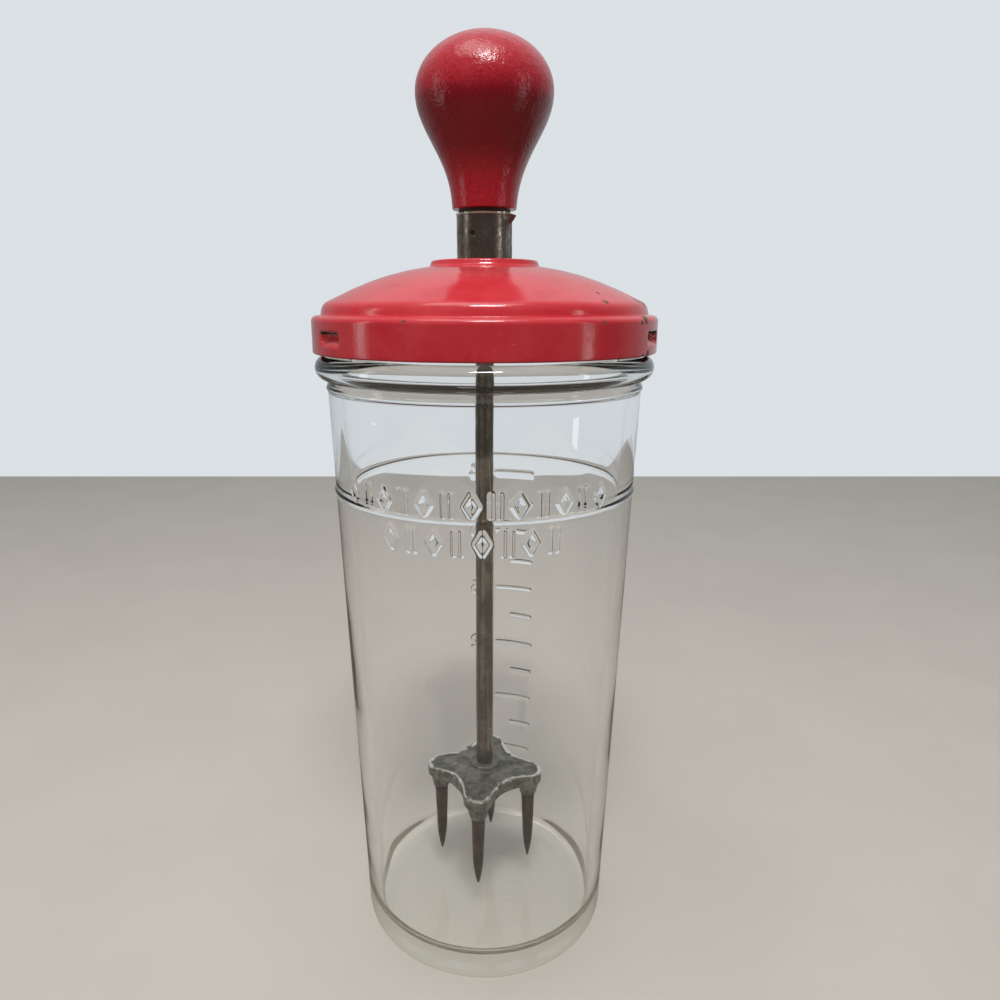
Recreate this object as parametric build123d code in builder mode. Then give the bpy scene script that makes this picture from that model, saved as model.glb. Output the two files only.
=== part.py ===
from build123d import *
import os
from math import hypot, sqrt

# A push-pull jar mixer: a pressed glass jar, a lug lid, and a knob, rod and pronged head that slide
# through the lid's middle. Millimetres, +Z up, the front is -Y. The origin is on the jar's axis, in
# the plane that it stands on. The lid is seated with its lugs in the gaps between the jar's ribs,
# and the plunger is fully down, with its ferrule on the lid.

# Glass jar
jar_height = 197.3
foot_radius = 40.35
shoulder_radius = 46.0
shoulder_below_rim = 19.3
wall_thickness = 4.1
floor_thickness = 6.6
heel_round = 3.4
floor_corner_round = 6.0
foot_band_width = 4.6
base_hollow_depth = 1.3
base_hollow_slope = 4.0
neck_radius = 46.8
neck_wall = 4.4
rim_round = 1.0

# Raised rings of the jar
fill_line_below_rim = 47.8
fill_line_relief = 0.45
fill_line_round = 0.7
ring_below_rim = 17.9
ring_relief = 0.45
ring_round = 1.0
groove_below_rim = 15.9
groove_depth = 0.5
bead_below_rim = 12.1
bead_inset = 0.4
bead_round = 3.5

# Lug ribs of the jar, and the lugs of the lid that turn under them
rib_reach = 1.7
rib_play = 0.4
rib_thickness = 1.7
rib_below_rim = 0.4
rib_arc = 56.0
rib_free_angle = 10.0
lug_count = 3
first_lug_angle = -24.0
lug_arc = 13.8
lug_foot_rise = 2.1
lug_height = 3.6
lug_play = 0.4
lug_slit = 0.8

# Lid
sheet = 0.45
skirt_height = 10.3
skirt_corner_round = 1.1
hem_height = 1.9
ledge_width = 2.7
dome_foot_round = 0.8
dome_shoulder_width = 5.3
dome_shoulder_rise = 5.3
crown_rise = 8.1
crown_round = 78.0
collar_radius = 15.8
collar_lean = 0.6
collar_rise = 1.65
collar_foot_round = 0.6
plateau_round = 1.1

# Gasket between the rim and the lid's ledge
gasket_thickness = 1.8
gasket_inset = 0.8
gasket_play = 1.25

# Rod
rod_radius = 2.78
rod_running_clearance = 0.08
rod_in_knob = 26.6
rod_shoulder_width = 0.78
rod_peen_overhang = 1.3
rod_peen_height = 1.6

# Bushing, seal cup and seal under the lid's raised centre
bushing_wall = 1.14
bushing_flange_width = 1.5
bushing_flange_thickness = 0.7
barrel_clearance = 0.05
cup_sheet = 0.5
cup_radius = 10.1
cup_lip_width = 3.5
seal_thickness = 4.6
seal_play = 0.3

# Ferrule and its cross pin
ferrule_radius = 7.94
ferrule_wall = 0.6
ferrule_height = 12.4
ferrule_edge_round = 0.2
pin_radius = 0.8
pin_drop = 5.2
pin_angle = -115.0
pin_end_recess = 0.15

# Knob: how far its outline swells from its foot, and at what rise above the foot
knob_gap = 1.4
knob_foot_overhang = 1.09
knob_foot_round = 0.5
knob_throat_swell = 3.07
knob_throat_rise = 12.3
knob_cheek_swell = 7.27
knob_cheek_rise = 20.2
knob_belly_swell = 10.07
knob_belly_rise = 29.8
knob_crown_height = 14.8
tenon_end_gap = 2.0

# Agitator head
head_angle = -8.0
lobe_count = 4
lobe_circle_radius = 15.0
lobe_radius = 4.6
waist_radius = 12.0
hub_width = 1.92
hub_height = 1.0
head_top_fall = 1.2
web_thickness = 5.0
boss_drop = 4.9
boss_root_inset = 0.4
boss_tip_width = 0.45
head_edge_round = 0.7

# Prongs
prong_floor_gap = 9.6
prong_length = 25.3
prong_root_radius = 2.3
prong_taper = 0.5
prong_point_length = 11.0
prong_tip_radius = 0.3
prong_shoulder_width = 0.8
prong_shank_length = 4.6

# Clearance of the fits, and how far a cut runs past what it cuts
fit_clearance = 0.03
cut_overrun = 0.5

# Jar sizes that follow from the ones above
shoulder_height = jar_height - shoulder_below_rim
fill_line_height = jar_height - fill_line_below_rim
ring_height = jar_height - ring_below_rim
groove_height = jar_height - groove_below_rim
groove_radius = shoulder_radius - groove_depth
bead_height = jar_height - bead_below_rim
mouth_radius = neck_radius - neck_wall
rib_radius = neck_radius + rib_reach
rib_top = jar_height - rib_below_rim

# Lid sizes that follow: the hem clears the ribs, the lugs clear the neck
skirt_radius = rib_radius + rib_play + 2 * sheet
bead_radius = skirt_radius - bead_inset
lug_reach = skirt_radius - sheet - neck_radius - lug_play
gasket_inner_radius = mouth_radius + gasket_inset
gasket_outer_radius = skirt_radius - sheet - gasket_play
dome_foot_radius = skirt_radius - ledge_width
crown_foot_radius = dome_foot_radius - dome_shoulder_width
ledge_height = jar_height + gasket_thickness + sheet
skirt_bottom = ledge_height - skirt_height
lug_foot = skirt_bottom + lug_foot_rise
crown_foot_height = ledge_height + dome_shoulder_rise
crown_top_height = crown_foot_height + crown_rise
plateau_height = crown_top_height + collar_rise

# Bushing, cup and seal sizes that follow
bushing_barrel_radius = rod_radius + rod_running_clearance + bushing_wall
bushing_flange_radius = bushing_barrel_radius + bushing_flange_width
hole_radius = bushing_barrel_radius + barrel_clearance
cup_lip_radius = cup_radius - cup_lip_width
cup_top = plateau_height - sheet
cup_ceiling = cup_top - cup_sheet
seal_top = cup_ceiling - bushing_flange_thickness - seal_play
seal_bottom = seal_top - seal_thickness
cup_bottom = seal_bottom - cup_sheet

# Plunger sizes that follow
ferrule_top = plateau_height + ferrule_height
pin_height = ferrule_top - pin_drop
knob_bottom = ferrule_top + knob_gap
knob_foot_radius = ferrule_radius + knob_foot_overhang
tenon_radius = ferrule_radius - ferrule_wall - fit_clearance
tenon_bottom = plateau_height + tenon_end_gap
rod_top = knob_bottom + rod_in_knob
rod_tenon_radius = rod_radius - rod_shoulder_width
rod_peen_radius = rod_tenon_radius + rod_peen_overhang
boss_bottom = floor_thickness + prong_floor_gap + prong_length
web_bottom = boss_bottom + boss_drop
plate_top = web_bottom + web_thickness
head_top = plate_top + hub_height
hub_radius = rod_radius + hub_width
lobe_reach = lobe_circle_radius + lobe_radius
boss_root_radius = lobe_radius - boss_root_inset
boss_tip_radius = prong_root_radius + boss_tip_width
prong_waist_radius = prong_root_radius - prong_taper
prong_shank_radius = prong_root_radius - prong_shoulder_width

pin_plane = Plane.YZ.rotated((0, 0, pin_angle))
lug_angles = [first_lug_angle + 360 / lug_count * i for i in range(lug_count)]
lobe_angles = [head_angle + 360 / lobe_count * i for i in range(lobe_count)]
prong_names = ["prong_right", "prong_back", "prong_left", "prong_front"]

os.makedirs("parts", exist_ok=True)


def radial_plane(angle):
    """Upright plane through the axis; its x runs outwards at this angle from +X."""
    return Plane.XZ.rotated((0, 0, angle))


def wall_radius(height):
    """Outer radius of the jar's tapering wall."""
    return foot_radius + (shoulder_radius - foot_radius) * height / shoulder_height


def ring_section(height, crest_radius, round_radius):
    """Round section of a raised ring whose crest is at crest_radius."""
    with Locations((crest_radius - round_radius, height)):
        Circle(round_radius)


def pin_section(radius):
    """Round section of the cross pin, or of a hole for it."""
    with Locations((0, pin_height)):
        Circle(radius)


def is_star_edge(edge):
    """True for an edge of the head's top outline, outside the hub."""
    middle = edge @ 0.5
    outside_hub = hypot(middle.X, middle.Y) > (hub_radius + waist_radius) / 2
    return outside_hub and middle.Z > (web_bottom + plate_top) / 2


# Jar: turned outside and cavity, then the raised rings, the hollow base and the lug ribs
with BuildPart() as jar:
    with BuildSketch(Plane.XZ) as outside:
        Polygon(
            (0, 0),
            (foot_radius, 0),
            (shoulder_radius, shoulder_height),
            (groove_radius, groove_height),
            (neck_radius, bead_height),
            (neck_radius, jar_height),
            (0, jar_height),
            align=None,
        )
        heel = outside.vertices().sort_by_distance((foot_radius, 0))[0]
        fillet(heel, heel_round)
        ring_section(fill_line_height, wall_radius(fill_line_height) + fill_line_relief, fill_line_round)
        ring_section(ring_height, wall_radius(ring_height) + ring_relief, ring_round)
        ring_section(bead_height, bead_radius, bead_round)
    revolve(axis=Axis.Z)
    with BuildSketch(Plane.XZ) as cavity:
        Polygon(
            (0, floor_thickness),
            (wall_radius(floor_thickness) - wall_thickness, floor_thickness),
            (shoulder_radius - wall_thickness, shoulder_height),
            (mouth_radius, jar_height),
            (0, jar_height),
            align=None,
        )
        floor_corner = cavity.vertices().sort_by_distance((foot_radius, floor_thickness))[0]
        fillet(floor_corner, floor_corner_round)
    revolve(axis=Axis.Z, mode=Mode.SUBTRACT)
    with BuildSketch(Plane.XZ):
        hollow_radius = foot_radius - heel_round - foot_band_width
        Polygon(
            (0, 0),
            (hollow_radius, 0),
            (hollow_radius - base_hollow_slope, base_hollow_depth),
            (0, base_hollow_depth),
            align=None,
        )
    revolve(axis=Axis.Z, mode=Mode.SUBTRACT)
    fillet(jar.edges().group_by(Axis.Z)[-1], rim_round)
    for lug_angle in lug_angles:
        rib_start = lug_angle - lug_arc / 2 - rib_free_angle - rib_arc
        with BuildSketch(radial_plane(rib_start)):
            Polygon(
                (neck_radius - rim_round, rib_top),
                (neck_radius - rim_round, rib_top - rib_thickness),
                (rib_radius, rib_top - rib_thickness),
                (rib_radius, rib_top - rib_thickness / 2),
                (neck_radius, rib_top),
                align=None,
            )
        revolve(axis=Axis.Z, revolution_arc=rib_arc)
jar.part.label = "jar"
export_step(jar.part, "parts/jar.step")

# Gasket: a flat ring on the rim
with BuildPart() as lid_gasket:
    with BuildSketch(Plane.XY.offset(jar_height)):
        Circle(gasket_outer_radius)
        Circle(gasket_inner_radius, mode=Mode.SUBTRACT)
    extrude(amount=gasket_thickness)
lid_gasket.part.label = "lid_gasket"
export_step(lid_gasket.part, "parts/lid_gasket.step")

# Lid shell: one sheet that follows the skirt, the ledge, the dome and the raised centre
with BuildPart() as lid_shell:
    with BuildSketch(Plane.XZ):
        with BuildLine() as lid_line:
            crown_foot = (crown_foot_radius, crown_foot_height)
            crown_top = (collar_radius, crown_top_height)
            Line((skirt_radius, skirt_bottom), (skirt_radius, ledge_height))
            Line((skirt_radius, ledge_height), (dome_foot_radius, ledge_height))
            crown = RadiusArc(crown_foot, crown_top, -crown_round)
            TangentArc(crown_foot, (dome_foot_radius, ledge_height), tangent=(crown % 0) * -1)
            Line(crown_top, (collar_radius - collar_lean, plateau_height))
            Line((collar_radius - collar_lean, plateau_height), (hole_radius, plateau_height))
            for corner, corner_round in (
                ((skirt_radius, ledge_height), skirt_corner_round),
                ((dome_foot_radius, ledge_height), dome_foot_round),
                (crown_top, collar_foot_round),
                ((collar_radius - collar_lean, plateau_height), plateau_round),
            ):
                fillet(lid_line.vertices().sort_by_distance(corner)[0], corner_round)
            offset(amount=sheet, side=Side.LEFT)
        make_face()
    revolve(axis=Axis.Z)
    with BuildSketch(Plane.XZ):
        with Locations((skirt_radius - sheet, skirt_bottom)):
            Rectangle(sheet, hem_height, align=(Align.MAX, Align.MIN))
    revolve(axis=Axis.Z)
    for lug_angle in lug_angles:
        lug_start = radial_plane(lug_angle - lug_arc / 2)
        with BuildSketch(lug_start):
            with Locations((skirt_radius - sheet / 2, lug_foot)):
                Rectangle(sheet + cut_overrun, lug_height + lug_slit, align=(Align.CENTER, Align.MIN))
        revolve(axis=Axis.Z, revolution_arc=lug_arc, mode=Mode.SUBTRACT)
        with BuildSketch(lug_start):
            Polygon(
                (skirt_radius, lug_foot),
                (skirt_radius - lug_reach, lug_foot + lug_height),
                (skirt_radius - lug_reach - sheet, lug_foot + lug_height),
                (skirt_radius - sheet, lug_foot),
                align=None,
            )
        revolve(axis=Axis.Z, revolution_arc=lug_arc)
lid_shell.part.label = "lid_shell"
export_step(lid_shell.part, "parts/lid_shell.step")

# Seal cup: hangs from the raised centre, open towards the seal, with a lip under it
with BuildPart() as seal_cup:
    with BuildSketch(Plane.XY.offset(cup_bottom)):
        Circle(cup_radius)
    extrude(amount=cup_top - cup_bottom)
    with BuildSketch(Plane.XY.offset(seal_bottom)):
        Circle(cup_radius - cup_sheet)
    extrude(amount=cup_ceiling - seal_bottom, mode=Mode.SUBTRACT)
    with BuildSketch(Plane.XY.offset(cup_bottom)):
        Circle(cup_lip_radius)
    extrude(amount=cup_sheet, mode=Mode.SUBTRACT)
    with BuildSketch(Plane.XY.offset(cup_ceiling)):
        Circle(hole_radius)
    extrude(amount=cup_sheet, mode=Mode.SUBTRACT)
seal_cup.part.label = "seal_cup"
export_step(seal_cup.part, "parts/seal_cup.step")

# Guide bushing: a tubular rivet, one flange on the lid and one inside the cup
with BuildPart() as guide_bushing:
    with BuildSketch(Plane.XY.offset(cup_ceiling - bushing_flange_thickness)):
        Circle(bushing_flange_radius)
    extrude(amount=bushing_flange_thickness)
    with BuildSketch(Plane.XY.offset(cup_ceiling)):
        Circle(bushing_barrel_radius)
    extrude(amount=plateau_height - cup_ceiling)
    with BuildSketch(Plane.XY.offset(plateau_height)):
        Circle(bushing_flange_radius)
    extrude(amount=bushing_flange_thickness)
    fillet(guide_bushing.edges().group_by(Axis.Z)[-1], bushing_flange_thickness / 2)
    with BuildSketch(Plane.XY.offset(cup_ceiling - bushing_flange_thickness)):
        Circle(rod_radius + rod_running_clearance)
    extrude(amount=plateau_height - cup_ceiling + 2 * bushing_flange_thickness, mode=Mode.SUBTRACT)
guide_bushing.part.label = "guide_bushing"
export_step(guide_bushing.part, "parts/guide_bushing.step")

# Rod seal: a disc that rests on the cup's lip and closes on the rod
with BuildPart() as rod_seal:
    with BuildSketch(Plane.XY.offset(seal_bottom)):
        Circle(cup_radius - cup_sheet - seal_play)
        Circle(rod_radius + fit_clearance, mode=Mode.SUBTRACT)
    extrude(amount=seal_thickness)
rod_seal.part.label = "rod_seal"
export_step(rod_seal.part, "parts/rod_seal.step")

# Knob: turned pear shape with a tenon, bored for the rod and the cross pin
with BuildPart() as knob:
    with BuildSketch(Plane.XZ) as knob_section:
        with BuildLine():
            belly_radius = knob_foot_radius + knob_belly_swell
            belly_height = knob_bottom + knob_belly_rise
            knob_top = belly_height + knob_crown_height
            Line((0, knob_bottom), (knob_foot_radius, knob_bottom))
            Spline(
                (knob_foot_radius, knob_bottom),
                (knob_foot_radius + knob_throat_swell, knob_bottom + knob_throat_rise),
                (knob_foot_radius + knob_cheek_swell, knob_bottom + knob_cheek_rise),
                (belly_radius, belly_height),
                tangents=[(knob_throat_swell, 2 * knob_throat_rise), (0, 1)],
            )
            Spline(
                (belly_radius, belly_height),
                (belly_radius / sqrt(2), belly_height + knob_crown_height / sqrt(2)),
                (0, knob_top),
                tangents=[(0, 1), (-1, 0)],
            )
            Line((0, knob_top), (0, knob_bottom))
        make_face()
        fillet(knob_section.vertices().sort_by_distance((knob_foot_radius, knob_bottom))[0], knob_foot_round)
    revolve(axis=Axis.Z)
    with BuildSketch(Plane.XY.offset(tenon_bottom)):
        Circle(tenon_radius)
    extrude(amount=knob_bottom - tenon_bottom)
    with BuildSketch(Plane.XY.offset(tenon_bottom)):
        Circle(rod_radius + fit_clearance)
    extrude(amount=rod_top - tenon_bottom, mode=Mode.SUBTRACT)
    with BuildSketch(pin_plane):
        pin_section(pin_radius + fit_clearance)
    extrude(amount=ferrule_radius, both=True, mode=Mode.SUBTRACT)
knob.part.label = "knob"
export_step(knob.part, "parts/knob.step")

# Ferrule: a tube round the tenon that stops on the lid when the plunger is down
with BuildPart() as ferrule:
    with BuildSketch(Plane.XY.offset(plateau_height)):
        Circle(ferrule_radius)
        Circle(ferrule_radius - ferrule_wall, mode=Mode.SUBTRACT)
    extrude(amount=ferrule_height)
    fillet(ferrule.edges().group_by(Axis.Z)[-1], ferrule_edge_round)
    with BuildSketch(pin_plane):
        pin_section(pin_radius + fit_clearance)
    extrude(amount=ferrule_radius + cut_overrun, both=True, mode=Mode.SUBTRACT)
ferrule.part.label = "ferrule"
export_step(ferrule.part, "parts/ferrule.step")

# Ferrule pin: through ferrule, tenon and rod
with BuildPart() as ferrule_pin:
    with BuildSketch(pin_plane):
        pin_section(pin_radius)
    extrude(amount=ferrule_radius - pin_end_recess, both=True)
ferrule_pin.part.label = "ferrule_pin"
export_step(ferrule_pin.part, "parts/ferrule_pin.step")

# Rod: shouldered on the head's hub, with a tenon through the head that is peened under it
with BuildPart() as rod:
    with BuildSketch(Plane.XY.offset(head_top)):
        Circle(rod_radius)
    extrude(amount=rod_top - head_top)
    with BuildSketch(Plane.XY.offset(web_bottom)):
        Circle(rod_tenon_radius)
    extrude(amount=head_top - web_bottom)
    with BuildSketch(Plane.XY.offset(web_bottom - rod_peen_height)):
        Circle(rod_peen_radius)
    extrude(amount=rod_peen_height)
    fillet(rod.edges().group_by(Axis.Z)[0], rod_peen_height / 2)
    with BuildSketch(pin_plane):
        pin_section(pin_radius + fit_clearance)
    extrude(amount=ferrule_radius, both=True, mode=Mode.SUBTRACT)
rod.part.label = "rod"
export_step(rod.part, "parts/rod.step")

# Agitator head: a four-lobed plate whose concave sides run tangent into the lobes, on which the
# top falls away from the hub, with a tapering boss under each lobe
side_centre = (lobe_circle_radius**2 - (lobe_radius - waist_radius) ** 2) / (
    2 * lobe_circle_radius + 2 * sqrt(2) * (lobe_radius - waist_radius)
)
side_round = sqrt(2) * side_centre - waist_radius
tangent_share = lobe_radius / (lobe_radius + side_round)
tangent_x = lobe_circle_radius + (side_centre - lobe_circle_radius) * tangent_share
tangent_y = side_centre * tangent_share

with BuildPart() as agitator_head:
    with BuildSketch(Plane.XY.offset(web_bottom)):
        with BuildLine():
            for lobe_angle in lobe_angles:
                lobe_tip = Vector(lobe_reach, 0).rotate(Axis.Z, lobe_angle)
                lobe_start = Vector(tangent_x, -tangent_y).rotate(Axis.Z, lobe_angle)
                lobe_end = Vector(tangent_x, tangent_y).rotate(Axis.Z, lobe_angle)
                waist = Vector(waist_radius, 0).rotate(Axis.Z, lobe_angle + 180 / lobe_count)
                next_lobe = lobe_start.rotate(Axis.Z, 360 / lobe_count)
                ThreePointArc(lobe_start, lobe_tip, lobe_end)
                ThreePointArc(lobe_end, waist, next_lobe)
        make_face()
    extrude(amount=head_top - web_bottom)
    with BuildSketch(Plane.XZ):
        Polygon(
            (0, web_bottom),
            (0, head_top),
            (hub_radius - hub_height, head_top),
            (hub_radius, plate_top),
            (lobe_reach, plate_top - head_top_fall),
            (lobe_reach, web_bottom),
            align=None,
        )
    revolve(axis=Axis.Z, mode=Mode.INTERSECT)
    outline = agitator_head.edges().filter_by(GeomType.LINE, reverse=True).filter_by(is_star_edge)
    fillet(outline, head_edge_round)
    with Locations((0, 0, boss_bottom)):
        with PolarLocations(lobe_circle_radius, lobe_count, start_angle=head_angle):
            Cone(
                boss_tip_radius,
                boss_root_radius,
                boss_drop,
                align=(Align.CENTER, Align.CENTER, Align.MIN),
            )
    with Locations((0, 0, web_bottom)):
        Cylinder(
            rod_tenon_radius + fit_clearance,
            head_top - web_bottom,
            align=(Align.CENTER, Align.CENTER, Align.MIN),
            mode=Mode.SUBTRACT,
        )
    with BuildSketch(Plane.XY.offset(boss_bottom)):
        with PolarLocations(lobe_circle_radius, lobe_count, start_angle=head_angle):
            Circle(prong_shank_radius + fit_clearance)
    extrude(amount=prong_shank_length, mode=Mode.SUBTRACT)
agitator_head.part.label = "agitator_head"
export_step(agitator_head.part, "parts/agitator_head.step")

# Prongs: a shank in the boss, a slightly tapering body and a long point
for prong_name, lobe_angle in zip(prong_names, lobe_angles):
    centre = Vector(lobe_circle_radius, 0, boss_bottom).rotate(Axis.Z, lobe_angle)
    waist_level = prong_point_length - prong_length
    with BuildPart() as prong:
        with BuildSketch(Plane(origin=centre, x_dir=(1, 0, 0), z_dir=(0, -1, 0))):
            with BuildLine():
                Polyline(
                    (0, -prong_length),
                    (0, prong_shank_length),
                    (prong_shank_radius, prong_shank_length),
                    (prong_shank_radius, 0),
                    (prong_root_radius, 0),
                    (prong_waist_radius, waist_level),
                )
                TangentArc(
                    (prong_waist_radius, waist_level),
                    (prong_tip_radius, -prong_length),
                    tangent=(prong_waist_radius - prong_root_radius, waist_level),
                )
                Line((prong_tip_radius, -prong_length), (0, -prong_length))
            make_face()
        revolve(axis=Axis(centre, (0, 0, 1)))
    prong.part.label = prong_name
    export_step(prong.part, f"parts/{prong_name}.step")
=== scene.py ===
"""Studio picture of a push-pull jar mixer.

A pressed glass jar carries a red enamelled lid. A painted knob, its ferrule and a rod slide through
the lid's middle, and the rod ends in a cast head with four prongs. Everything is in metres, +Z up,
with the front at -Y, and the origin on the jar's axis in the plane that it stands on.
"""

import logging
import math
from contextlib import contextmanager
from dataclasses import dataclass, field
from enum import Enum
from typing import Callable, Iterator, Sequence

import bpy
import numpy as np
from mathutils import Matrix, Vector, noise


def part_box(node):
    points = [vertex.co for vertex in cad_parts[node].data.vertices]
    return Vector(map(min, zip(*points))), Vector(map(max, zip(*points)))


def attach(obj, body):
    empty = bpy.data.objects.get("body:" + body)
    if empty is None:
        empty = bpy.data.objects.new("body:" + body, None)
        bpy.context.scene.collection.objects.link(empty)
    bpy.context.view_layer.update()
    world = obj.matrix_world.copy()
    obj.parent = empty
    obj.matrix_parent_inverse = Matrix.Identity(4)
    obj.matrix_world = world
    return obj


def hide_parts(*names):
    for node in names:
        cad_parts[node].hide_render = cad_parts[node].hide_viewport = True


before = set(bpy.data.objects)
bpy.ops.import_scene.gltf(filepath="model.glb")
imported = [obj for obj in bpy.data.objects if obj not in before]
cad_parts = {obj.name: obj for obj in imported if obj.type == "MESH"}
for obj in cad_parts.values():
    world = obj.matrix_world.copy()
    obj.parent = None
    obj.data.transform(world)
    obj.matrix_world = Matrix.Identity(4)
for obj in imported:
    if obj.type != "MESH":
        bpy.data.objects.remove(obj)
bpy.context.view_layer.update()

log = logging.getLogger("mixer_jar")

MM = 0.001
SLACK = 0.1 * MM
FULL_TURN = math.tau
FRONT = -math.pi / 2
BACK = math.pi / 2

Point = tuple[float, float]
Colour = tuple[float, float, float]
PlaceRule = Callable[[np.ndarray], np.ndarray]


# Outlines: lists of (radius, height) for turned pieces


def oval(
    middle: Point, reach: float, rise: float, start: float = 0, stop: float = 360, steps: int = 16
) -> list[Point]:
    """Gives points along an oval or a part of it.

    Args:
        middle: Radius and height of the oval's middle.
        reach: Half width.
        rise: Half height.
        start: First angle in degrees, from outwards, turning upwards.
        stop: Last angle in degrees.
        steps: How many stretches it is cut into.

    Returns:
        The points, both ends included.
    """
    angles = np.radians(np.linspace(start, stop, steps + 1))
    return [(middle[0] + reach * math.cos(a), middle[1] + rise * math.sin(a)) for a in angles]


def arc(centre: Point, radius: float, start: float, stop: float, steps: int) -> list[Point]:
    """Gives points along an arc of a circle, from one angle in degrees to another."""
    return oval(centre, radius, radius, start, stop, steps)


def curve(start: Point, first: Point, second: Point, stop: Point, steps: int) -> list[Point]:
    """Gives points along a cubic curve.

    Args:
        start: Where the curve starts.
        first: Handle that the start heads for.
        second: Handle that the end comes from.
        stop: Where the curve ends.
        steps: How many stretches the curve is cut into.

    Returns:
        The points, both ends included.
    """
    t = np.linspace(0, 1, steps + 1)[:, None]
    ends = [np.array(p) for p in (start, first, second, stop)]
    weights = ((1 - t) ** 3, 3 * (1 - t) ** 2 * t, 3 * (1 - t) * t**2, t**3)
    return [tuple(p) for p in sum(w * e for w, e in zip(weights, ends))]


def straight(start: Point, stop: Point, steps: int) -> list[Point]:
    """Gives evenly spaced points along a line, both ends included."""
    return [tuple(p) for p in np.linspace(start, stop, steps + 1)]


def joined(*stretches: Sequence[Point]) -> list[Point]:
    """Strings stretches together and drops points that repeat."""
    nearest = 0.01 * MM
    points: list[Point] = []
    for point in (p for stretch in stretches for p in stretch):
        if not points or math.dist(points[-1], point) > nearest:
            points.append((float(point[0]), float(point[1])))
    return points


def softened(points: Sequence[Point], reach: float, turn: float = 4.0) -> list[Point]:
    """Rounds the corners of an outline, as pressing rounds those of a sheet.

    Args:
        points: The sharp outline.
        reach: How far a corner's rounding runs along the outline.
        turn: Largest turn in degrees that one kept point makes.

    Returns:
        The rounded outline with the same ends, dense where it bends.
    """
    spacing = reach / 12
    sharp = np.array(points)
    run = np.concatenate([[0], np.cumsum(np.linalg.norm(np.diff(sharp, axis=0), axis=1))])
    stops = np.linspace(0, run[-1], max(int(run[-1] / spacing), 8))
    fine = np.column_stack([np.interp(stops, run, sharp[:, i]) for i in (0, 1)])
    half = int(reach / (stops[1] - stops[0]) / 2)
    head, tail = 2 * fine[0] - fine[half:0:-1], 2 * fine[-1] - fine[-2 : -half - 2 : -1]
    padded = np.vstack([head, fine, tail])
    window = np.hanning(2 * half + 3)[1:-1]
    soft = np.column_stack([np.convolve(padded[:, i], window / window.sum(), "valid") for i in (0, 1)])
    kept, heading, longest = [tuple(soft[0])], None, 4 * reach
    for before, here in zip(soft, soft[1:]):
        angle = math.degrees(math.atan2(*(here - before)))
        heading = angle if heading is None else heading
        if abs((angle - heading + 180) % 360 - 180) >= turn or math.dist(kept[-1], here) > longest:
            kept.append(tuple(here))
            heading = angle
    return joined(kept, [tuple(soft[-1])])


# Bench work: the operators that shape a piece


def take(*pieces: bpy.types.Object) -> None:
    """Makes these pieces the only selected ones, and the first of them active."""
    bpy.ops.object.select_all(action="DESELECT")
    for piece in pieces:
        piece.select_set(True)
    bpy.context.view_layer.objects.active = pieces[0]


def added(operator: Callable[..., object], name: str, **settings: object) -> bpy.types.Object:
    """Adds an object with one of the operators for that, and names it."""
    bpy.ops.object.select_all(action="DESELECT")
    operator(**settings)
    made = bpy.context.object
    made.name = made.data.name = name
    return made


@contextmanager
def editing(piece: bpy.types.Object, elements: str = "VERT") -> Iterator[None]:
    """Opens a piece in edit mode with everything selected, and closes it again.

    Args:
        piece: The piece to work on.
        elements: What is selected there: VERT, EDGE or FACE.

    Yields:
        Nothing: operators act on the selection meanwhile.
    """
    take(piece)
    bpy.ops.object.mode_set(mode="EDIT")
    bpy.ops.mesh.select_mode(type=elements)
    bpy.ops.mesh.select_all(action="SELECT")
    yield
    bpy.ops.object.mode_set(mode="OBJECT")


def vectors(elements: bpy.types.bpy_prop_collection, kind: str) -> np.ndarray:
    """Gives a vector of each vertex or face, such as its co, center or normal, as rows."""
    values = np.empty(len(elements) * 3)
    elements.foreach_get(kind, values)
    return values.reshape(-1, 3)


def write_mask(piece: bpy.types.Object, name: str, domain: str, mask: np.ndarray) -> None:
    """Writes an attribute for the piece's finish: a number from 0 to 1 for each FACE or POINT."""
    attribute = piece.data.attributes.new(name, "FLOAT", domain)
    attribute.data.foreach_set("value", mask.astype(float))


@contextmanager
def faces_picked(piece: bpy.types.Object, wanted: PlaceRule) -> Iterator[None]:
    """Opens a piece in edit mode with the faces selected whose middles are wanted.

    Args:
        piece: The piece to work on.
        wanted: Tells from an array of the faces' middles which ones are selected.

    Yields:
        Nothing: operators act on the selection meanwhile.
    """
    take(piece)
    shape = piece.data
    for elements in (shape.vertices, shape.edges):
        elements.foreach_set("select", np.zeros(len(elements), bool))
    shape.polygons.foreach_set("select", wanted(vectors(shape.polygons, "center")))
    bpy.context.tool_settings.mesh_select_mode = (False, False, True)
    bpy.ops.object.mode_set(mode="EDIT")
    yield
    bpy.ops.object.mode_set(mode="OBJECT")


def close_up(piece: bpy.types.Object) -> None:
    """Merges what lies on the same spot and turns the faces outwards."""
    with editing(piece):
        bpy.ops.mesh.remove_doubles(threshold=0.002 * MM)
        bpy.ops.mesh.dissolve_degenerate(threshold=0.001 * MM)
        bpy.ops.mesh.normals_make_consistent(inside=False)


def turn_over(piece: bpy.types.Object) -> None:
    """Makes all the faces of a piece look the other way."""
    with editing(piece):
        bpy.ops.mesh.flip_normals()


def settle(piece: bpy.types.Object, sharp: float = 50.0) -> bpy.types.Object:
    """Puts a piece's place into its mesh and smooths it, apart from edges over this angle."""
    take(piece)
    bpy.ops.object.transform_apply(location=True, rotation=True, scale=True)
    bpy.ops.object.shade_smooth_by_angle(angle=math.radians(sharp))
    return piece


def modify(piece: bpy.types.Object, kind: str, **settings: object) -> None:
    """Adds one modifier with these settings and applies it."""
    take(piece)
    bpy.ops.object.modifier_add(type=kind)
    modifier = piece.modifiers[-1]
    for name, value in settings.items():
        setattr(modifier, name, value)
    bpy.ops.object.modifier_apply(modifier=modifier.name)


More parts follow.
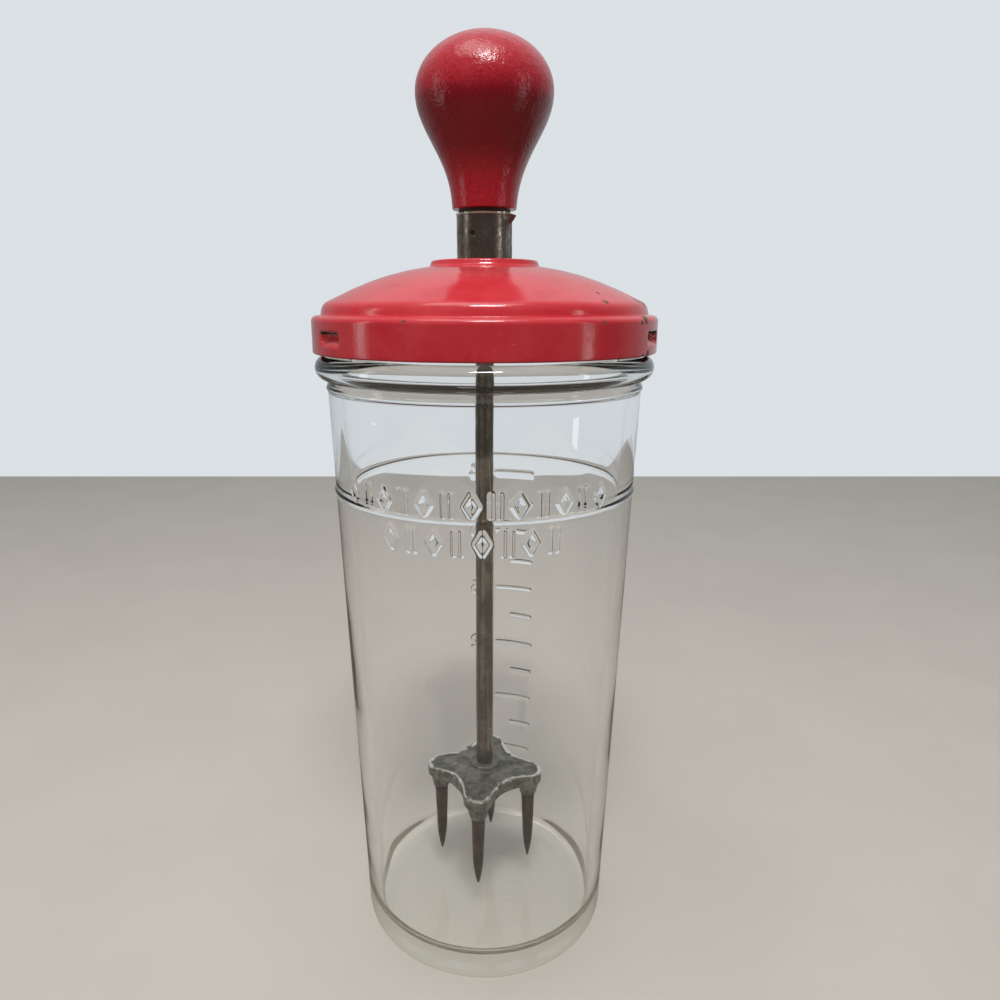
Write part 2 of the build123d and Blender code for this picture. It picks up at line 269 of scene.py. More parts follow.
def turned(
    name: str, outline: Sequence[Point], steps: int, axis_at: Point = (0, 0), closed: bool = True
) -> bpy.types.Object:
    """Turns an outline round an upright axis.

    Args:
        name: The piece's name.
        outline: Radius and height of each point. One that ends where it starts makes a ring.
        steps: How many faces go round.
        axis_at: X and Y of the axis.
        closed: False for a single sheet, whose faces are turned up where it is flat.

    Returns:
        The new piece.
    """
    first_radius, first_height = outline[0]
    place = (axis_at[0] + first_radius, axis_at[1], first_height)
    piece = added(bpy.ops.mesh.primitive_plane_add, name, size=MM, location=place)
    with editing(piece):
        bpy.ops.mesh.merge(type="CENTER")
        for (radius, height), (next_radius, next_height) in zip(outline, outline[1:]):
            step = (next_radius - radius, 0, next_height - height)
            bpy.ops.mesh.extrude_vertices_move(TRANSFORM_OT_translate={"value": step})
        bpy.ops.mesh.select_all(action="SELECT")
        bpy.ops.mesh.spin(steps=steps, angle=FULL_TURN, center=(*axis_at, 0), axis=(0, 0, 1))
    close_up(piece)
    settle(piece)
    highest = max(piece.data.polygons, key=lambda face: face.center.z)
    if not closed and highest.normal.z < 0:
        turn_over(piece)
    return piece


def reshape(piece: bpy.types.Object, moved: PlaceRule) -> None:
    """Moves a piece's points through a function on the array of their places."""
    places = vectors(piece.data.vertices, "co")
    piece.data.vertices.foreach_set("co", moved(places).ravel())
    piece.data.update()


def refine(piece: bpy.types.Object, cuts: int, wanted: PlaceRule) -> None:
    """Cuts the chosen faces of a piece into a finer grid."""
    with faces_picked(piece, wanted):
        bpy.ops.mesh.subdivide(number_cuts=cuts)


def copies_round(piece: bpy.types.Object, names: Sequence[str]) -> list[bpy.types.Object]:
    """Copies a piece round the Z axis, evenly over the full turn.

    Args:
        piece: The first of the pieces.
        names: The names of all, the first one's included, in the order of their angles.

    Returns:
        All the pieces, each with its own mesh.
    """
    made = [piece]
    piece.name = piece.data.name = names[0]
    for index, name in enumerate(names[1:], 1):
        take(piece)
        bpy.ops.object.duplicate()
        copy = bpy.context.object
        copy.name = copy.data.name = name
        turn = -FULL_TURN * index / len(names)
        bpy.ops.transform.rotate(value=turn, orient_axis="Z", center_override=(0, 0, 0))
        made.append(settle(copy))
    return made


def angles_of(places: np.ndarray) -> np.ndarray:
    """Gives each place's angle round the Z axis, from +X."""
    return np.arctan2(places[:, 1], places[:, 0])


def radii_of(places: np.ndarray) -> np.ndarray:
    """Gives each place's distance from the Z axis."""
    return np.hypot(places[:, 0], places[:, 1])


def angle_between(angles: np.ndarray | float, middle: float) -> np.ndarray | float:
    """Gives the turn from middle to each angle, between minus and plus half a turn."""
    return (angles - middle + math.pi) % FULL_TURN - math.pi


def eased(share: np.ndarray | float) -> np.ndarray | float:
    """Gives a soft step from 0 to 1 over shares from 0 to 1."""
    held = np.clip(share, 0, 1)
    return held * held * (3 - 2 * held)


def at_radii(places: np.ndarray, radii: np.ndarray) -> np.ndarray:
    """Gives the places moved in or out to these radii."""
    now = np.maximum(radii_of(places), 0.001 * MM)
    moved = places.copy()
    moved[:, :2] *= (radii / now)[:, None]
    return moved


def unevenness(places: np.ndarray, size: float, seed: float) -> np.ndarray:
    """Gives a smooth random height, from about -1 to 1, with swells of this size."""
    shift = Vector((seed, seed, seed))
    return np.array([noise.noise(Vector(place) / size + shift) for place in places])


# Material nodes


def reckoned(operation: str, swapped: bool = False) -> Callable[["Signal", "Signal | float"], "Signal"]:
    """Makes a method that reckons with a signal and another one or a number.

    Args:
        operation: What the Math node does.
        swapped: True where the other one comes first, as in 1 - signal.

    Returns:
        The method, for the class of signals.
    """

    def method(signal: "Signal", other: "Signal | float") -> "Signal":
        """Adds the Math node and gives its output."""
        values = (other, signal) if swapped else (signal, other)
        return signal.recipe.node("ShaderNodeMath", {"operation": operation}, dict(enumerate(values)))

    return method


class Signal:
    """A number that runs between a material's nodes, and can be reckoned with."""

    __add__ = reckoned("ADD")
    __radd__ = reckoned("ADD", swapped=True)
    __sub__ = reckoned("SUBTRACT")
    __rsub__ = reckoned("SUBTRACT", swapped=True)
    __mul__ = reckoned("MULTIPLY")
    __rmul__ = reckoned("MULTIPLY", swapped=True)
    __truediv__ = reckoned("DIVIDE")
    most = reckoned("MAXIMUM")
    least = reckoned("MINIMUM")

    def __init__(self, recipe: "Recipe", socket: bpy.types.NodeSocket) -> None:
        """Keeps the recipe that the signal belongs to, and its output."""
        self.recipe = recipe
        self.socket = socket

    def between(self, low: float, high: float) -> "Signal":
        """Goes softly from 0 at low to 1 at high, which may be the smaller one."""
        settings = {"interpolation_type": "SMOOTHSTEP"}
        inputs = {0: self, 1: min(low, high), 2: max(low, high)}
        step = self.recipe.node("ShaderNodeMapRange", settings, inputs)
        return step if low < high else 1 - step


class Recipe:
    """A material or a world made of nodes."""

    def __init__(self, name: str, is_world: bool = False) -> None:
        """Starts a new material, or world, that holds only its output."""
        library = bpy.data.worlds if is_world else bpy.data.materials
        self.owner = library.new(name)
        self.owner.use_nodes = True
        self.tree = self.owner.node_tree
        self.tree.nodes.clear()
        kind, place = ("World", "Generated") if is_world else ("Material", "Object")
        self.output = self.tree.nodes.new(f"ShaderNodeOutput{kind}")
        self.place = self.node("ShaderNodeTexCoord", pick=place)

    def node(
        self, kind: str, settings: dict | None = None, inputs: dict | None = None, pick: str | int = 0
    ) -> Signal:
        """Adds any node.

        Args:
            kind: The node's type.
            settings: Its own settings, set first.
            inputs: Values or signals by the socket's name or number.
            pick: The output that is given back.

        Returns:
            That output as a signal.
        """
        made = self.tree.nodes.new(kind)
        for name, value in (settings or {}).items():
            setattr(made, name, value)
        for name, value in (inputs or {}).items():
            if isinstance(value, Signal):
                self.tree.links.new(value.socket, made.inputs[name])
            else:
                made.inputs[name].default_value = value
        return Signal(self, made.outputs[pick])

    def axis(self, letter: str) -> Signal:
        """Gives the place along X, Y or Z in metres."""
        return self.node("ShaderNodeSeparateXYZ", None, {0: self.place}, pick=letter)

    def mask(self, name: str) -> Signal:
        """Gives the piece's own attribute of this name, from 0 to 1."""
        return self.node("ShaderNodeAttribute", {"attribute_name": name}, pick="Fac")

    def stretched(self, scale: tuple[float, float, float]) -> Signal:
        """Gives the place with its axes scaled, for streaks."""
        return self.node("ShaderNodeMapping", None, {"Vector": self.place, "Scale": scale})

    def cloud(
        self, size: float, detail: float = 3.0, roughness: float = 0.5, place: Signal | None = None
    ) -> Signal:
        """Gives soft noise, around a half, with features of this size in metres."""
        inputs = {
            "Vector": place or self.place,
            "Scale": 1 / size,
            "Detail": detail,
            "Roughness": roughness,
        }
        return self.node("ShaderNodeTexNoise", None, inputs)

    def cells(self, size: float) -> Signal:
        """Gives the distance to scattered points that lie about this far apart, in metres."""
        inputs = {"Vector": self.place, "Scale": 1 / size}
        return self.node("ShaderNodeTexVoronoi", None, inputs, pick="Distance")

    def spot(self, middle: Sequence[float], radius: float, wobble: Signal) -> Signal:
        """Gives 1 inside an uneven spot and 0 outside it.

        Args:
            middle: Where the spot is.
            radius: Its size.
            wobble: Noise around a half that frays its edge.

        Returns:
            The spot's mask.
        """
        settings = {"operation": "DISTANCE"}
        away = self.node("ShaderNodeVectorMath", settings, {0: self.place, 1: middle}, pick="Value")
        frayed = away / radius + (wobble - 0.5) * 1.6
        return frayed.between(1.1, 0.9)

    def blend(self, share: Signal, first: Signal | Colour, second: Signal | Colour) -> Signal:
        """Mixes two colours: the first where share is 0, the second where it is 1."""
        ends = [c if isinstance(c, Signal) else (*c, 1) for c in (first, second)]
        settings = {"data_type": "RGBA"}
        return self.node("ShaderNodeMix", settings, {0: share, 6: ends[0], 7: ends[1]}, pick=2)

    def either(self, share: Signal, first: Signal, second: Signal) -> Signal:
        """Mixes two shaders: the first where share is 0, the second where it is 1."""
        return self.node("ShaderNodeMixShader", None, {0: share, 1: first, 2: second})

    def seen_by(self, ray: str) -> Signal:
        """Gives 1 to rays of this kind, such as Camera, and 0 to others."""
        return self.node("ShaderNodeLightPath", pick=f"Is {ray} Ray")

    def never(self, bounce: str) -> Signal:
        """Gives 1 to rays that no Diffuse or Glossy bounce has turned, and 0 to others."""
        return 1 - self.node("ShaderNodeLightPath", pick=f"{bounce} Depth").least(1.0)

    def bumped(self, height: Signal, distance: float, normal: Signal | None = None) -> Signal:
        """Gives the normal of a surface with this relief, at most this deep in metres."""
        inputs = {"Height": height, "Distance": distance}
        if normal:
            inputs["Normal"] = normal
        return self.node("ShaderNodeBump", None, inputs)

    def surface(self, **sockets: "Signal | float | Colour") -> Signal:
        """Adds the main shader. Spaces in its sockets' names are written as underscores."""
        inputs = {}
        for name, value in sockets.items():
            is_colour = isinstance(value, tuple) and len(value) == 3
            inputs[name.replace("_", " ")] = (*value, 1) if is_colour else value
        return self.node("ShaderNodeBsdfPrincipled", None, inputs)

    def finish(self, shader: Signal, depth: Signal | None = None) -> bpy.types.ID:
        """Joins the shader, and the one for the depth if there is one, to the output."""
        for name, part in (("Surface", shader), ("Volume", depth)):
            if part is not None:
                self.tree.links.new(part.socket, self.output.inputs[name])
        return self.owner

    def coat(self, **sockets: "Signal | float | Colour") -> bpy.types.Material:
        """Gives the material with the main shader alone, whose sockets are given as for surface."""
        return self.finish(self.surface(**sockets))


# Finishes


@dataclass(frozen=True)
class PressedGlass:
    """Clear glass with a faint green depth and slow waves.

    The piece's own underside attribute says where the glass lies on the table, which shows
    straight through it there.
    """

    index: float = 1.5
    depth_tint: Colour = (0.62, 0.84, 0.74)
    tint_strength: float = 4.0
    wave_size: float = 34 * MM
    wave_depth: float = 0.35 * MM
    contact: float = 0.92
    shadow_tint: Colour = (0.955, 0.958, 0.953)

    def make(self) -> bpy.types.Material:
        """Makes the material."""
        recipe = Recipe("clear_glass")
        waves = recipe.cloud(self.wave_size, detail=1.0)
        glass = recipe.surface(
            Base_Color=(1.0, 1.0, 1.0),
            Roughness=0.0,
            Transmission_Weight=1.0,
            IOR=self.index,
            Normal=recipe.bumped(waves, self.wave_depth),
        )
        clear = recipe.node("ShaderNodeBsdfTransparent", None, {"Color": (*self.shadow_tint, 1)})
        glass = recipe.either(recipe.mask("underside") * self.contact, glass, clear)
        inputs = {"Color": (*self.depth_tint, 1), "Density": self.tint_strength}
        depth = recipe.node("ShaderNodeVolumeAbsorption", None, inputs)
        return recipe.finish(recipe.either(recipe.seen_by("Shadow"), glass, clear), depth)


@dataclass(frozen=True)
class Chip:
    """A place where the enamel has come off, by its angle from the front and its height."""

    angle: float
    height: float
    reach: float
    size: float

    def middle(self) -> tuple[float, float, float]:
        """Gives the chip's place in metres."""
        turn = math.radians(self.angle) + FRONT
        return (self.reach * math.cos(turn), self.reach * math.sin(turn), self.height)


LID_CHIPS = (
    Chip(44.8, 205.3 * MM, 40.8 * MM, 0.65 * MM),
    Chip(41.4, 202.6 * MM, 45.1 * MM, 1.1 * MM),
    Chip(65.7, 203.2 * MM, 44.6 * MM, 1.1 * MM),
    Chip(68.8, 202.4 * MM, 45.2 * MM, 1.2 * MM),
    Chip(57.5, 199.0 * MM, 49.3 * MM, 1.3 * MM),
    Chip(54.5, 198.0 * MM, 49.8 * MM, 0.6 * MM),
    Chip(35.7, 198.2 * MM, 49.6 * MM, 0.5 * MM),
    Chip(-22.5, 198.6 * MM, 49.6 * MM, 0.45 * MM),
    Chip(56.0, 189.5 * MM, 49.7 * MM, 0.7 * MM),
    Chip(60.0, 189.7 * MM, 49.7 * MM, 1.0 * MM),
    Chip(148.0, 189.7 * MM, 49.7 * MM, 1.0 * MM),
    Chip(-131.0, 198.8 * MM, 49.5 * MM, 0.8 * MM),
    Chip(-160.0, 203.5 * MM, 44.0 * MM, 0.7 * MM),
)


@dataclass(frozen=True)
class RedEnamel:
    """Stoved red enamel on pressed steel, with fine scratches and chips down to rusty metal.

    The piece's own lining attribute says which faces are the bare inside of the sheet.
    """

    colour: Colour = (0.57, 0.026, 0.038)
    faded: Colour = (0.62, 0.048, 0.056)
    deep: Colour = (0.40, 0.012, 0.020)
    rust: Colour = (0.070, 0.040, 0.020)
    primer: Colour = (0.20, 0.105, 0.060)
    scratch: Colour = (0.75, 0.30, 0.28)
    lining: Colour = (0.27, 0.24, 0.19)
    lining_dark: Colour = (0.13, 0.105, 0.075)
    gloss: float = 0.12
    patch_size: float = 22 * MM
    grime_size: float = 7 * MM
    scratch_size: float = 0.35 * MM
    scratched_area: float = 14 * MM
    chip_fray: float = 0.9 * MM
    speck_spacing: float = 3.1 * MM
    specked_area: float = 16 * MM
    rust_size: float = 0.5 * MM
    peel_sizes: tuple[float, float] = (1.6 * MM, 9 * MM)
    peel_depth: float = 0.06 * MM
    chip_depth: float = 0.10 * MM

    def bare_metal(self, recipe: Recipe) -> Signal:
        """Gives the mask of the chips and specks, where the enamel has come off."""
        wobble = recipe.cloud(self.chip_fray, detail=3.0)
        specks = recipe.cells(self.speck_spacing).between(0.065, 0.045)
        bare = specks * recipe.cloud(self.specked_area, detail=1.0).between(0.58, 0.66)
        for chip in LID_CHIPS:
            bare = bare.most(recipe.spot(chip.middle(), chip.size, wobble))
        return bare

    def make(self) -> bpy.types.Material:
        """Makes the material."""
        recipe = Recipe("red_enamel")
        patches = recipe.cloud(self.patch_size, detail=4.0, roughness=0.6)
        colour = recipe.blend(patches.between(0.35, 0.65), self.colour, self.faded)
        grime = recipe.cloud(self.grime_size, detail=6.0, roughness=0.65).between(0.52, 0.74)
        colour = recipe.blend(grime * 0.45, colour, self.deep)
        sideways = recipe.stretched((0.08, 0.08, 1.0))
        streaks = recipe.cloud(self.scratch_size, detail=2.0, place=sideways)
        scratched = recipe.cloud(self.scratched_area, detail=2.0).between(0.52, 0.62)
        fine = streaks.between(0.72, 0.78) * scratched
        colour = recipe.blend(fine * 0.6, colour, self.scratch)
        bare = self.bare_metal(recipe)
        rusting = recipe.cloud(self.rust_size).between(0.4, 0.6)
        colour = recipe.blend(bare, colour, recipe.blend(rusting, self.rust, self.primer))
        inside = recipe.mask("lining")
        lined = recipe.blend(grime.most(patches.between(0.45, 0.7)), self.lining, self.lining_dark)
        small, large = self.peel_sizes
        peel = recipe.cloud(small, detail=2.0) * 0.4 + recipe.cloud(large, detail=1.0)
        roughness = self.gloss + grime * 0.12 + fine * 0.1 + patches * 0.06
        return recipe.coat(
            Base_Color=recipe.blend(inside, colour, lined),
            Roughness=roughness + bare.most(inside * 0.5) * 0.5,
            Specular_IOR_Level=0.5,
            Normal=recipe.bumped(1 - bare, self.chip_depth, recipe.bumped(peel, self.peel_depth)),
        )


@dataclass(frozen=True)
class PaintedWood:
    """Thick red paint on turned wood, grainy like orange peel, with small nicks."""

    colour: Colour = (0.22, 0.006, 0.012)
    # Lit red: painted light, blended in towards the crown and down the neck
    lit_red: Colour = (0.47, 0.020, 0.032)
    dark: Colour = (0.10, 0.002, 0.006)
    nick: Colour = (0.60, 0.20, 0.17)
    wood: Colour = (0.045, 0.026, 0.016)
    # Heights where painted bounce light from the lid comes in on the neck; the belly and crown heights
    # bound the painted light from above
    lit_neck_heights: tuple[float, float] = (246 * MM, 233 * MM)
    belly_height: float = 253 * MM
    crown_height: float = 260 * MM
    foot_height: float = 228.3 * MM
    foot_blur: float = 0.05 * MM
    patch_size: float = 14 * MM
    speckle_size: float = 0.6 * MM
    nick_spacing: float = 4.2 * MM
    nicked_area: float = 10 * MM
    peel_sizes: tuple[float, float] = (1.9 * MM, 6 * MM)
    peel_depth: float = 0.25 * MM
    gloss: float = 0.10

    def make(self) -> bpy.types.Material:
        """Makes the material."""
        recipe = Recipe("painted_wood")
        height = recipe.axis("Z")
        patches = recipe.cloud(self.patch_size, detail=4.0, roughness=0.6)
        # Painted light: lighter towards the crown, where the light from above falls, mixed with random
        # patches
        wear_and_crown_light = height.between(self.belly_height, self.crown_height) * 0.8 + patches * 0.4
        # Painted bounce light from the red lid: lighter down the neck
        neck = height.between(*self.lit_neck_heights) * 0.85
        colour = recipe.blend(wear_and_crown_light.between(0.1, 1.0).most(neck), self.colour, self.lit_red)
        speckle = recipe.cloud(self.speckle_size, detail=3.0, roughness=0.75)
        colour = recipe.blend(speckle.between(0.50, 0.72) * 0.75, colour, self.dark)
        nicks = recipe.cells(self.nick_spacing).between(0.06, 0.035)
        nicks = nicks * recipe.cloud(self.nicked_area, detail=1.0).between(0.5, 0.6)
        colour = recipe.blend(nicks * 0.7, colour, self.nick)
        bare = height.between(self.foot_height + self.foot_blur, self.foot_height - self.foot_blur)
        small, large = self.peel_sizes
        peel = recipe.cloud(small, detail=4.0, roughness=0.62) + recipe.cloud(large, detail=1.0)
        roughness = self.gloss + patches * 0.08 + speckle.between(0.45, 0.7) * 0.10
        return recipe.coat(
            Base_Color=recipe.blend(bare, colour, self.wood),
            Roughness=roughness + bare * 0.4,
            Specular_IOR_Level=0.5,
            Normal=recipe.bumped(peel - nicks * 0.3, self.peel_depth),
        )


@dataclass(frozen=True)
class WornMetal:
    """Bare or plated metal with tarnish, streaks along it and dull pits."""

    name: str
    bright: Colour
    tarnish: Colour
    pit: Colour
    tarnish_share: float = 0.5
    patch_size: float = 5 * MM
    gloss: float = 0.28
    dull: float = 0.55
    streak: tuple[float, float, float] = (1.0, 1.0, 0.06)
    streak_size: float = 0.5 * MM
    streak_share: float = 0.35
    relief: float = 0.04 * MM
    grain_size: float = 0.6 * MM
    pit_size: float = 0.45 * MM
    metallic: float = 1.0
    pale_edge_top: float = 1.0
    pale_edge_fade: float = 0.25 * MM
    pale_rim: Colour = (0.80, 0.76, 0.68)

    def colour_of(self, recipe: Recipe) -> tuple[Signal, Signal, Signal]:
        """Lays out the metal's colour.

        Args:
            recipe: The material in the making.

        Returns:
            Its colour, the mask of its tarnish and the mask of its pits.
        """
        patches = recipe.cloud(self.patch_size, detail=6.0, roughness=0.65)
        lines = recipe.cloud(self.streak_size, detail=2.0, place=recipe.stretched(self.streak))
        middle = 0.65 - 0.3 * self.tarnish_share
        worn = patches + (lines - 0.5) * self.streak_share
        worn = worn.between(middle - 0.14, middle + 0.14)
        colour = recipe.blend(worn, self.bright, self.tarnish)
        pits = recipe.cloud(self.pit_size, detail=3.0, roughness=0.7).between(0.58, 0.7)
        pits = pits * recipe.cloud(self.patch_size * 0.8, detail=2.0).between(0.4, 0.6)
        colour = recipe.blend(pits * 0.8, colour, self.pit)
        # Paler in a thin band just under the given top height, which only the ferrule's top edge
        # reaches
        rim = recipe.axis("Z").between(self.pale_edge_top - self.pale_edge_fade, self.pale_edge_top)
        return recipe.blend(rim, colour, self.pale_rim), worn * (1 - rim), pits

    def make(self) -> bpy.types.Material:
        """Makes the material."""
        recipe = Recipe(self.name)
        colour, worn, pits = self.colour_of(recipe)
        height = recipe.cloud(self.grain_size, detail=3.0) - pits * 0.6
        return recipe.coat(
            Base_Color=colour,
            Metallic=self.metallic - worn * 0.15 - pits * 0.4,
            Roughness=self.gloss + worn * (self.dull - self.gloss) + pits * 0.2,
            Normal=recipe.bumped(height, self.relief),
        )


@dataclass(frozen=True)
class CastZinc(WornMetal):
    """Cast metal gone greenish grey, rubbed bright along its rims."""

    rub_size: float = 1.9 * MM

    def make(self) -> bpy.types.Material:
        """Makes the material. The piece's own rim attribute says where it is rubbed."""
        recipe = Recipe(self.name)
        colour, _, pits = self.colour_of(recipe)
        ragged = (recipe.cloud(self.rub_size, detail=4.0) - 0.5) * 2.4
        wear_and_crown_light = (recipe.mask("rim") + ragged).between(0.40, 0.85)
        height = recipe.cloud(self.grain_size, detail=4.0, roughness=0.6) - pits * 0.5
        return recipe.coat(
            Base_Color=recipe.blend(wear_and_crown_light, colour, self.pale_rim),
            Metallic=0.75 + wear_and_crown_light * 0.25,
            Roughness=self.dull - wear_and_crown_light * (self.dull - self.gloss) + pits * 0.1,
            Normal=recipe.bumped(height, self.relief),
        )


@dataclass(frozen=True)
class Rubber:
    """Dull rubber with a dusting of bloom."""

    name: str
    colour: Colour
    bloom: Colour
    dust_size: float = 5 * MM
    grain_size: float = 0.4 * MM
    grain_depth: float = 0.05 * MM

    def make(self) -> bpy.types.Material:
        """Makes the material."""
        recipe = Recipe(self.name)
        dust = recipe.cloud(self.dust_size, detail=5.0, roughness=0.6).between(0.45, 0.7)
        grain = recipe.cloud(self.grain_size, detail=3.0)
        return recipe.coat(
            Base_Color=recipe.blend(dust * 0.7, self.colour, self.bloom),
            Roughness=0.55 + dust * 0.25,
            Normal=recipe.bumped(grain, self.grain_depth),
        )


FERRULE_NICKEL = WornMetal(
    "tarnished_nickel",
    bright=(0.36, 0.325, 0.275),
    tarnish=(0.155, 0.125, 0.095),
    pit=(0.035, 0.024, 0.015),
    tarnish_share=0.6,
    patch_size=3.5 * MM,
    streak_share=0.12,
    gloss=0.22,
    dull=0.36,
    # The ferrule is paler in a thin band just under this height
    pale_edge_top=226.9 * MM,
)
ROD_STEEL = WornMetal(
    "rod_steel",
    bright=(0.22, 0.185, 0.143),
    tarnish=(0.088, 0.069, 0.048),
    pit=(0.045, 0.030, 0.018),
    tarnish_share=0.62,
    patch_size=9 * MM,
    streak=(1.0, 1.0, 0.02),
    streak_size=1.1 * MM,
    streak_share=0.6,
    gloss=0.26,
    dull=0.40,
)
PRONG_STEEL = WornMetal(
    "prong_steel",
    bright=(0.078, 0.054, 0.034),
    tarnish=(0.034, 0.022, 0.012),
    pit=(0.025, 0.015, 0.008),
    tarnish_share=0.6,
    patch_size=4 * MM,
    gloss=0.36,
    dull=0.55,
    metallic=0.85,
)
PIN_STEEL = WornMetal(
    "pin_steel",
    bright=(0.10, 0.075, 0.05),
    tarnish=(0.045, 0.03, 0.018),
    pit=(0.02, 0.012, 0.006),
    patch_size=1.5 * MM,
)
CUP_STEEL = WornMetal(
    "cup_steel",
    bright=(0.62, 0.61, 0.58),
    tarnish=(0.30, 0.28, 0.25),
    pit=(0.10, 0.07, 0.04),
    tarnish_share=0.35,
    streak=(0.3, 0.3, 1.0),
)
BUSHING_STEEL = WornMetal(
    "bushing_steel",
    bright=(0.55, 0.52, 0.46),
    tarnish=(0.25, 0.21, 0.16),
    pit=(0.07, 0.045, 0.03),
    tarnish_share=0.45,
    patch_size=3 * MM,
)
HEAD_ZINC = CastZinc(
    "cast_zinc",
    bright=(0.23, 0.215, 0.18),
    tarnish=(0.075, 0.075, 0.060),
    pit=(0.035, 0.033, 0.026),
    tarnish_share=0.55,
    patch_size=4 * MM,
    gloss=0.15,
    dull=0.42,
    relief=0.26 * MM,
    grain_size=1.4 * MM,
)
GASKET_RUBBER = Rubber("gasket_rubber", colour=(0.32, 0.27, 0.20), bloom=(0.48, 0.43, 0.36))
SEAL_RUBBER = Rubber("seal_rubber", colour=(0.025, 0.024, 0.023), bloom=(0.10, 0.095, 0.09))


# Marks pressed into the jar


class Motif(Enum):
    """The plain ornaments of the band round the fill line."""

    LOZENGE = "lozenge"
    TWIN_BARS = "twin bars"

    @property
    def width(self) -> float:
        """The width of the box that the motif stands in, which is 1 high."""
        return 0.6

    def strokes(self) -> list[list[Point]]:
        """Gives the motif's strokes in its box."""
        if self is Motif.LOZENGE:
            return [oval((0.3, 0.5), 0.3, 0.5, steps=4)]
        return [[(0.12, 0.0), (0.12, 1.0)], [(0.48, 0.0), (0.48, 1.0)]]


DIGITS: dict[str, list[list[Point]]] = {
    "0": [oval((0.3, 0.5), 0.3, 0.5)],
    "1": [[(0.12, 0.8), (0.36, 1.0), (0.36, 0.0)]],
    "2": [oval((0.3, 0.7), 0.3, 0.3, 165, -40) + [(0.0, 0.0), (0.6, 0.0)]],
    "4": [[(0.46, 0.0), (0.46, 1.0), (0.0, 0.3), (0.62, 0.3)]],
    "6": [oval((0.3, 0.3), 0.3, 0.3), [(0.0, 0.32), (0.1, 0.72), (0.42, 1.0)]],
    "8": [oval((0.3, 0.76), 0.24, 0.24), oval((0.3, 0.27), 0.3, 0.27)],
}


@dataclass(frozen=True)
class Mark:
    """Raised strokes on the jar's wall.

    Attributes:
        angle: Where the mark's left edge is, in radians from +X.
        height: Its lower edge.
        size: Its height, and the unit of its strokes.
        strokes: Lines of points in that unit.
        share: How much of the full relief it has.
    """

    angle: float
    height: float
    size: float
    strokes: list[list[Point]]
    share: float = 1.0

    def extent(self) -> Point:
        """Gives the mark's width and height in metres."""
        points = np.array([point for stroke in self.strokes for point in stroke])
        return tuple(self.size * points.max(axis=0))

    def relief(self, across: np.ndarray, up: np.ndarray, half_width: float) -> np.ndarray:
        """Gives how far each place stands proud, from 0 to 1.

        Args:
            across: Places along the wall from the mark's left edge, in metres.
            up: Heights of the places.
            half_width: Half of a stroke's foot.

        Returns:
            The mark's share on a stroke's crest and 0 away from it.
        """
        spots = np.column_stack([across, up - self.height])
        nearest = np.full(len(spots), np.inf)
        for stroke in self.strokes:
            line = np.array(stroke) * self.size
            for start, stop in zip(line, line[1:]):
                run = stop - start
                share = np.clip((spots - start) @ run / (run @ run), 0, 1)
                away = np.linalg.norm(spots - start - share[:, None] * run, axis=1)
                nearest = np.minimum(nearest, away)
        return self.share * eased((half_width - nearest) / (half_width * 0.85))


# The jar


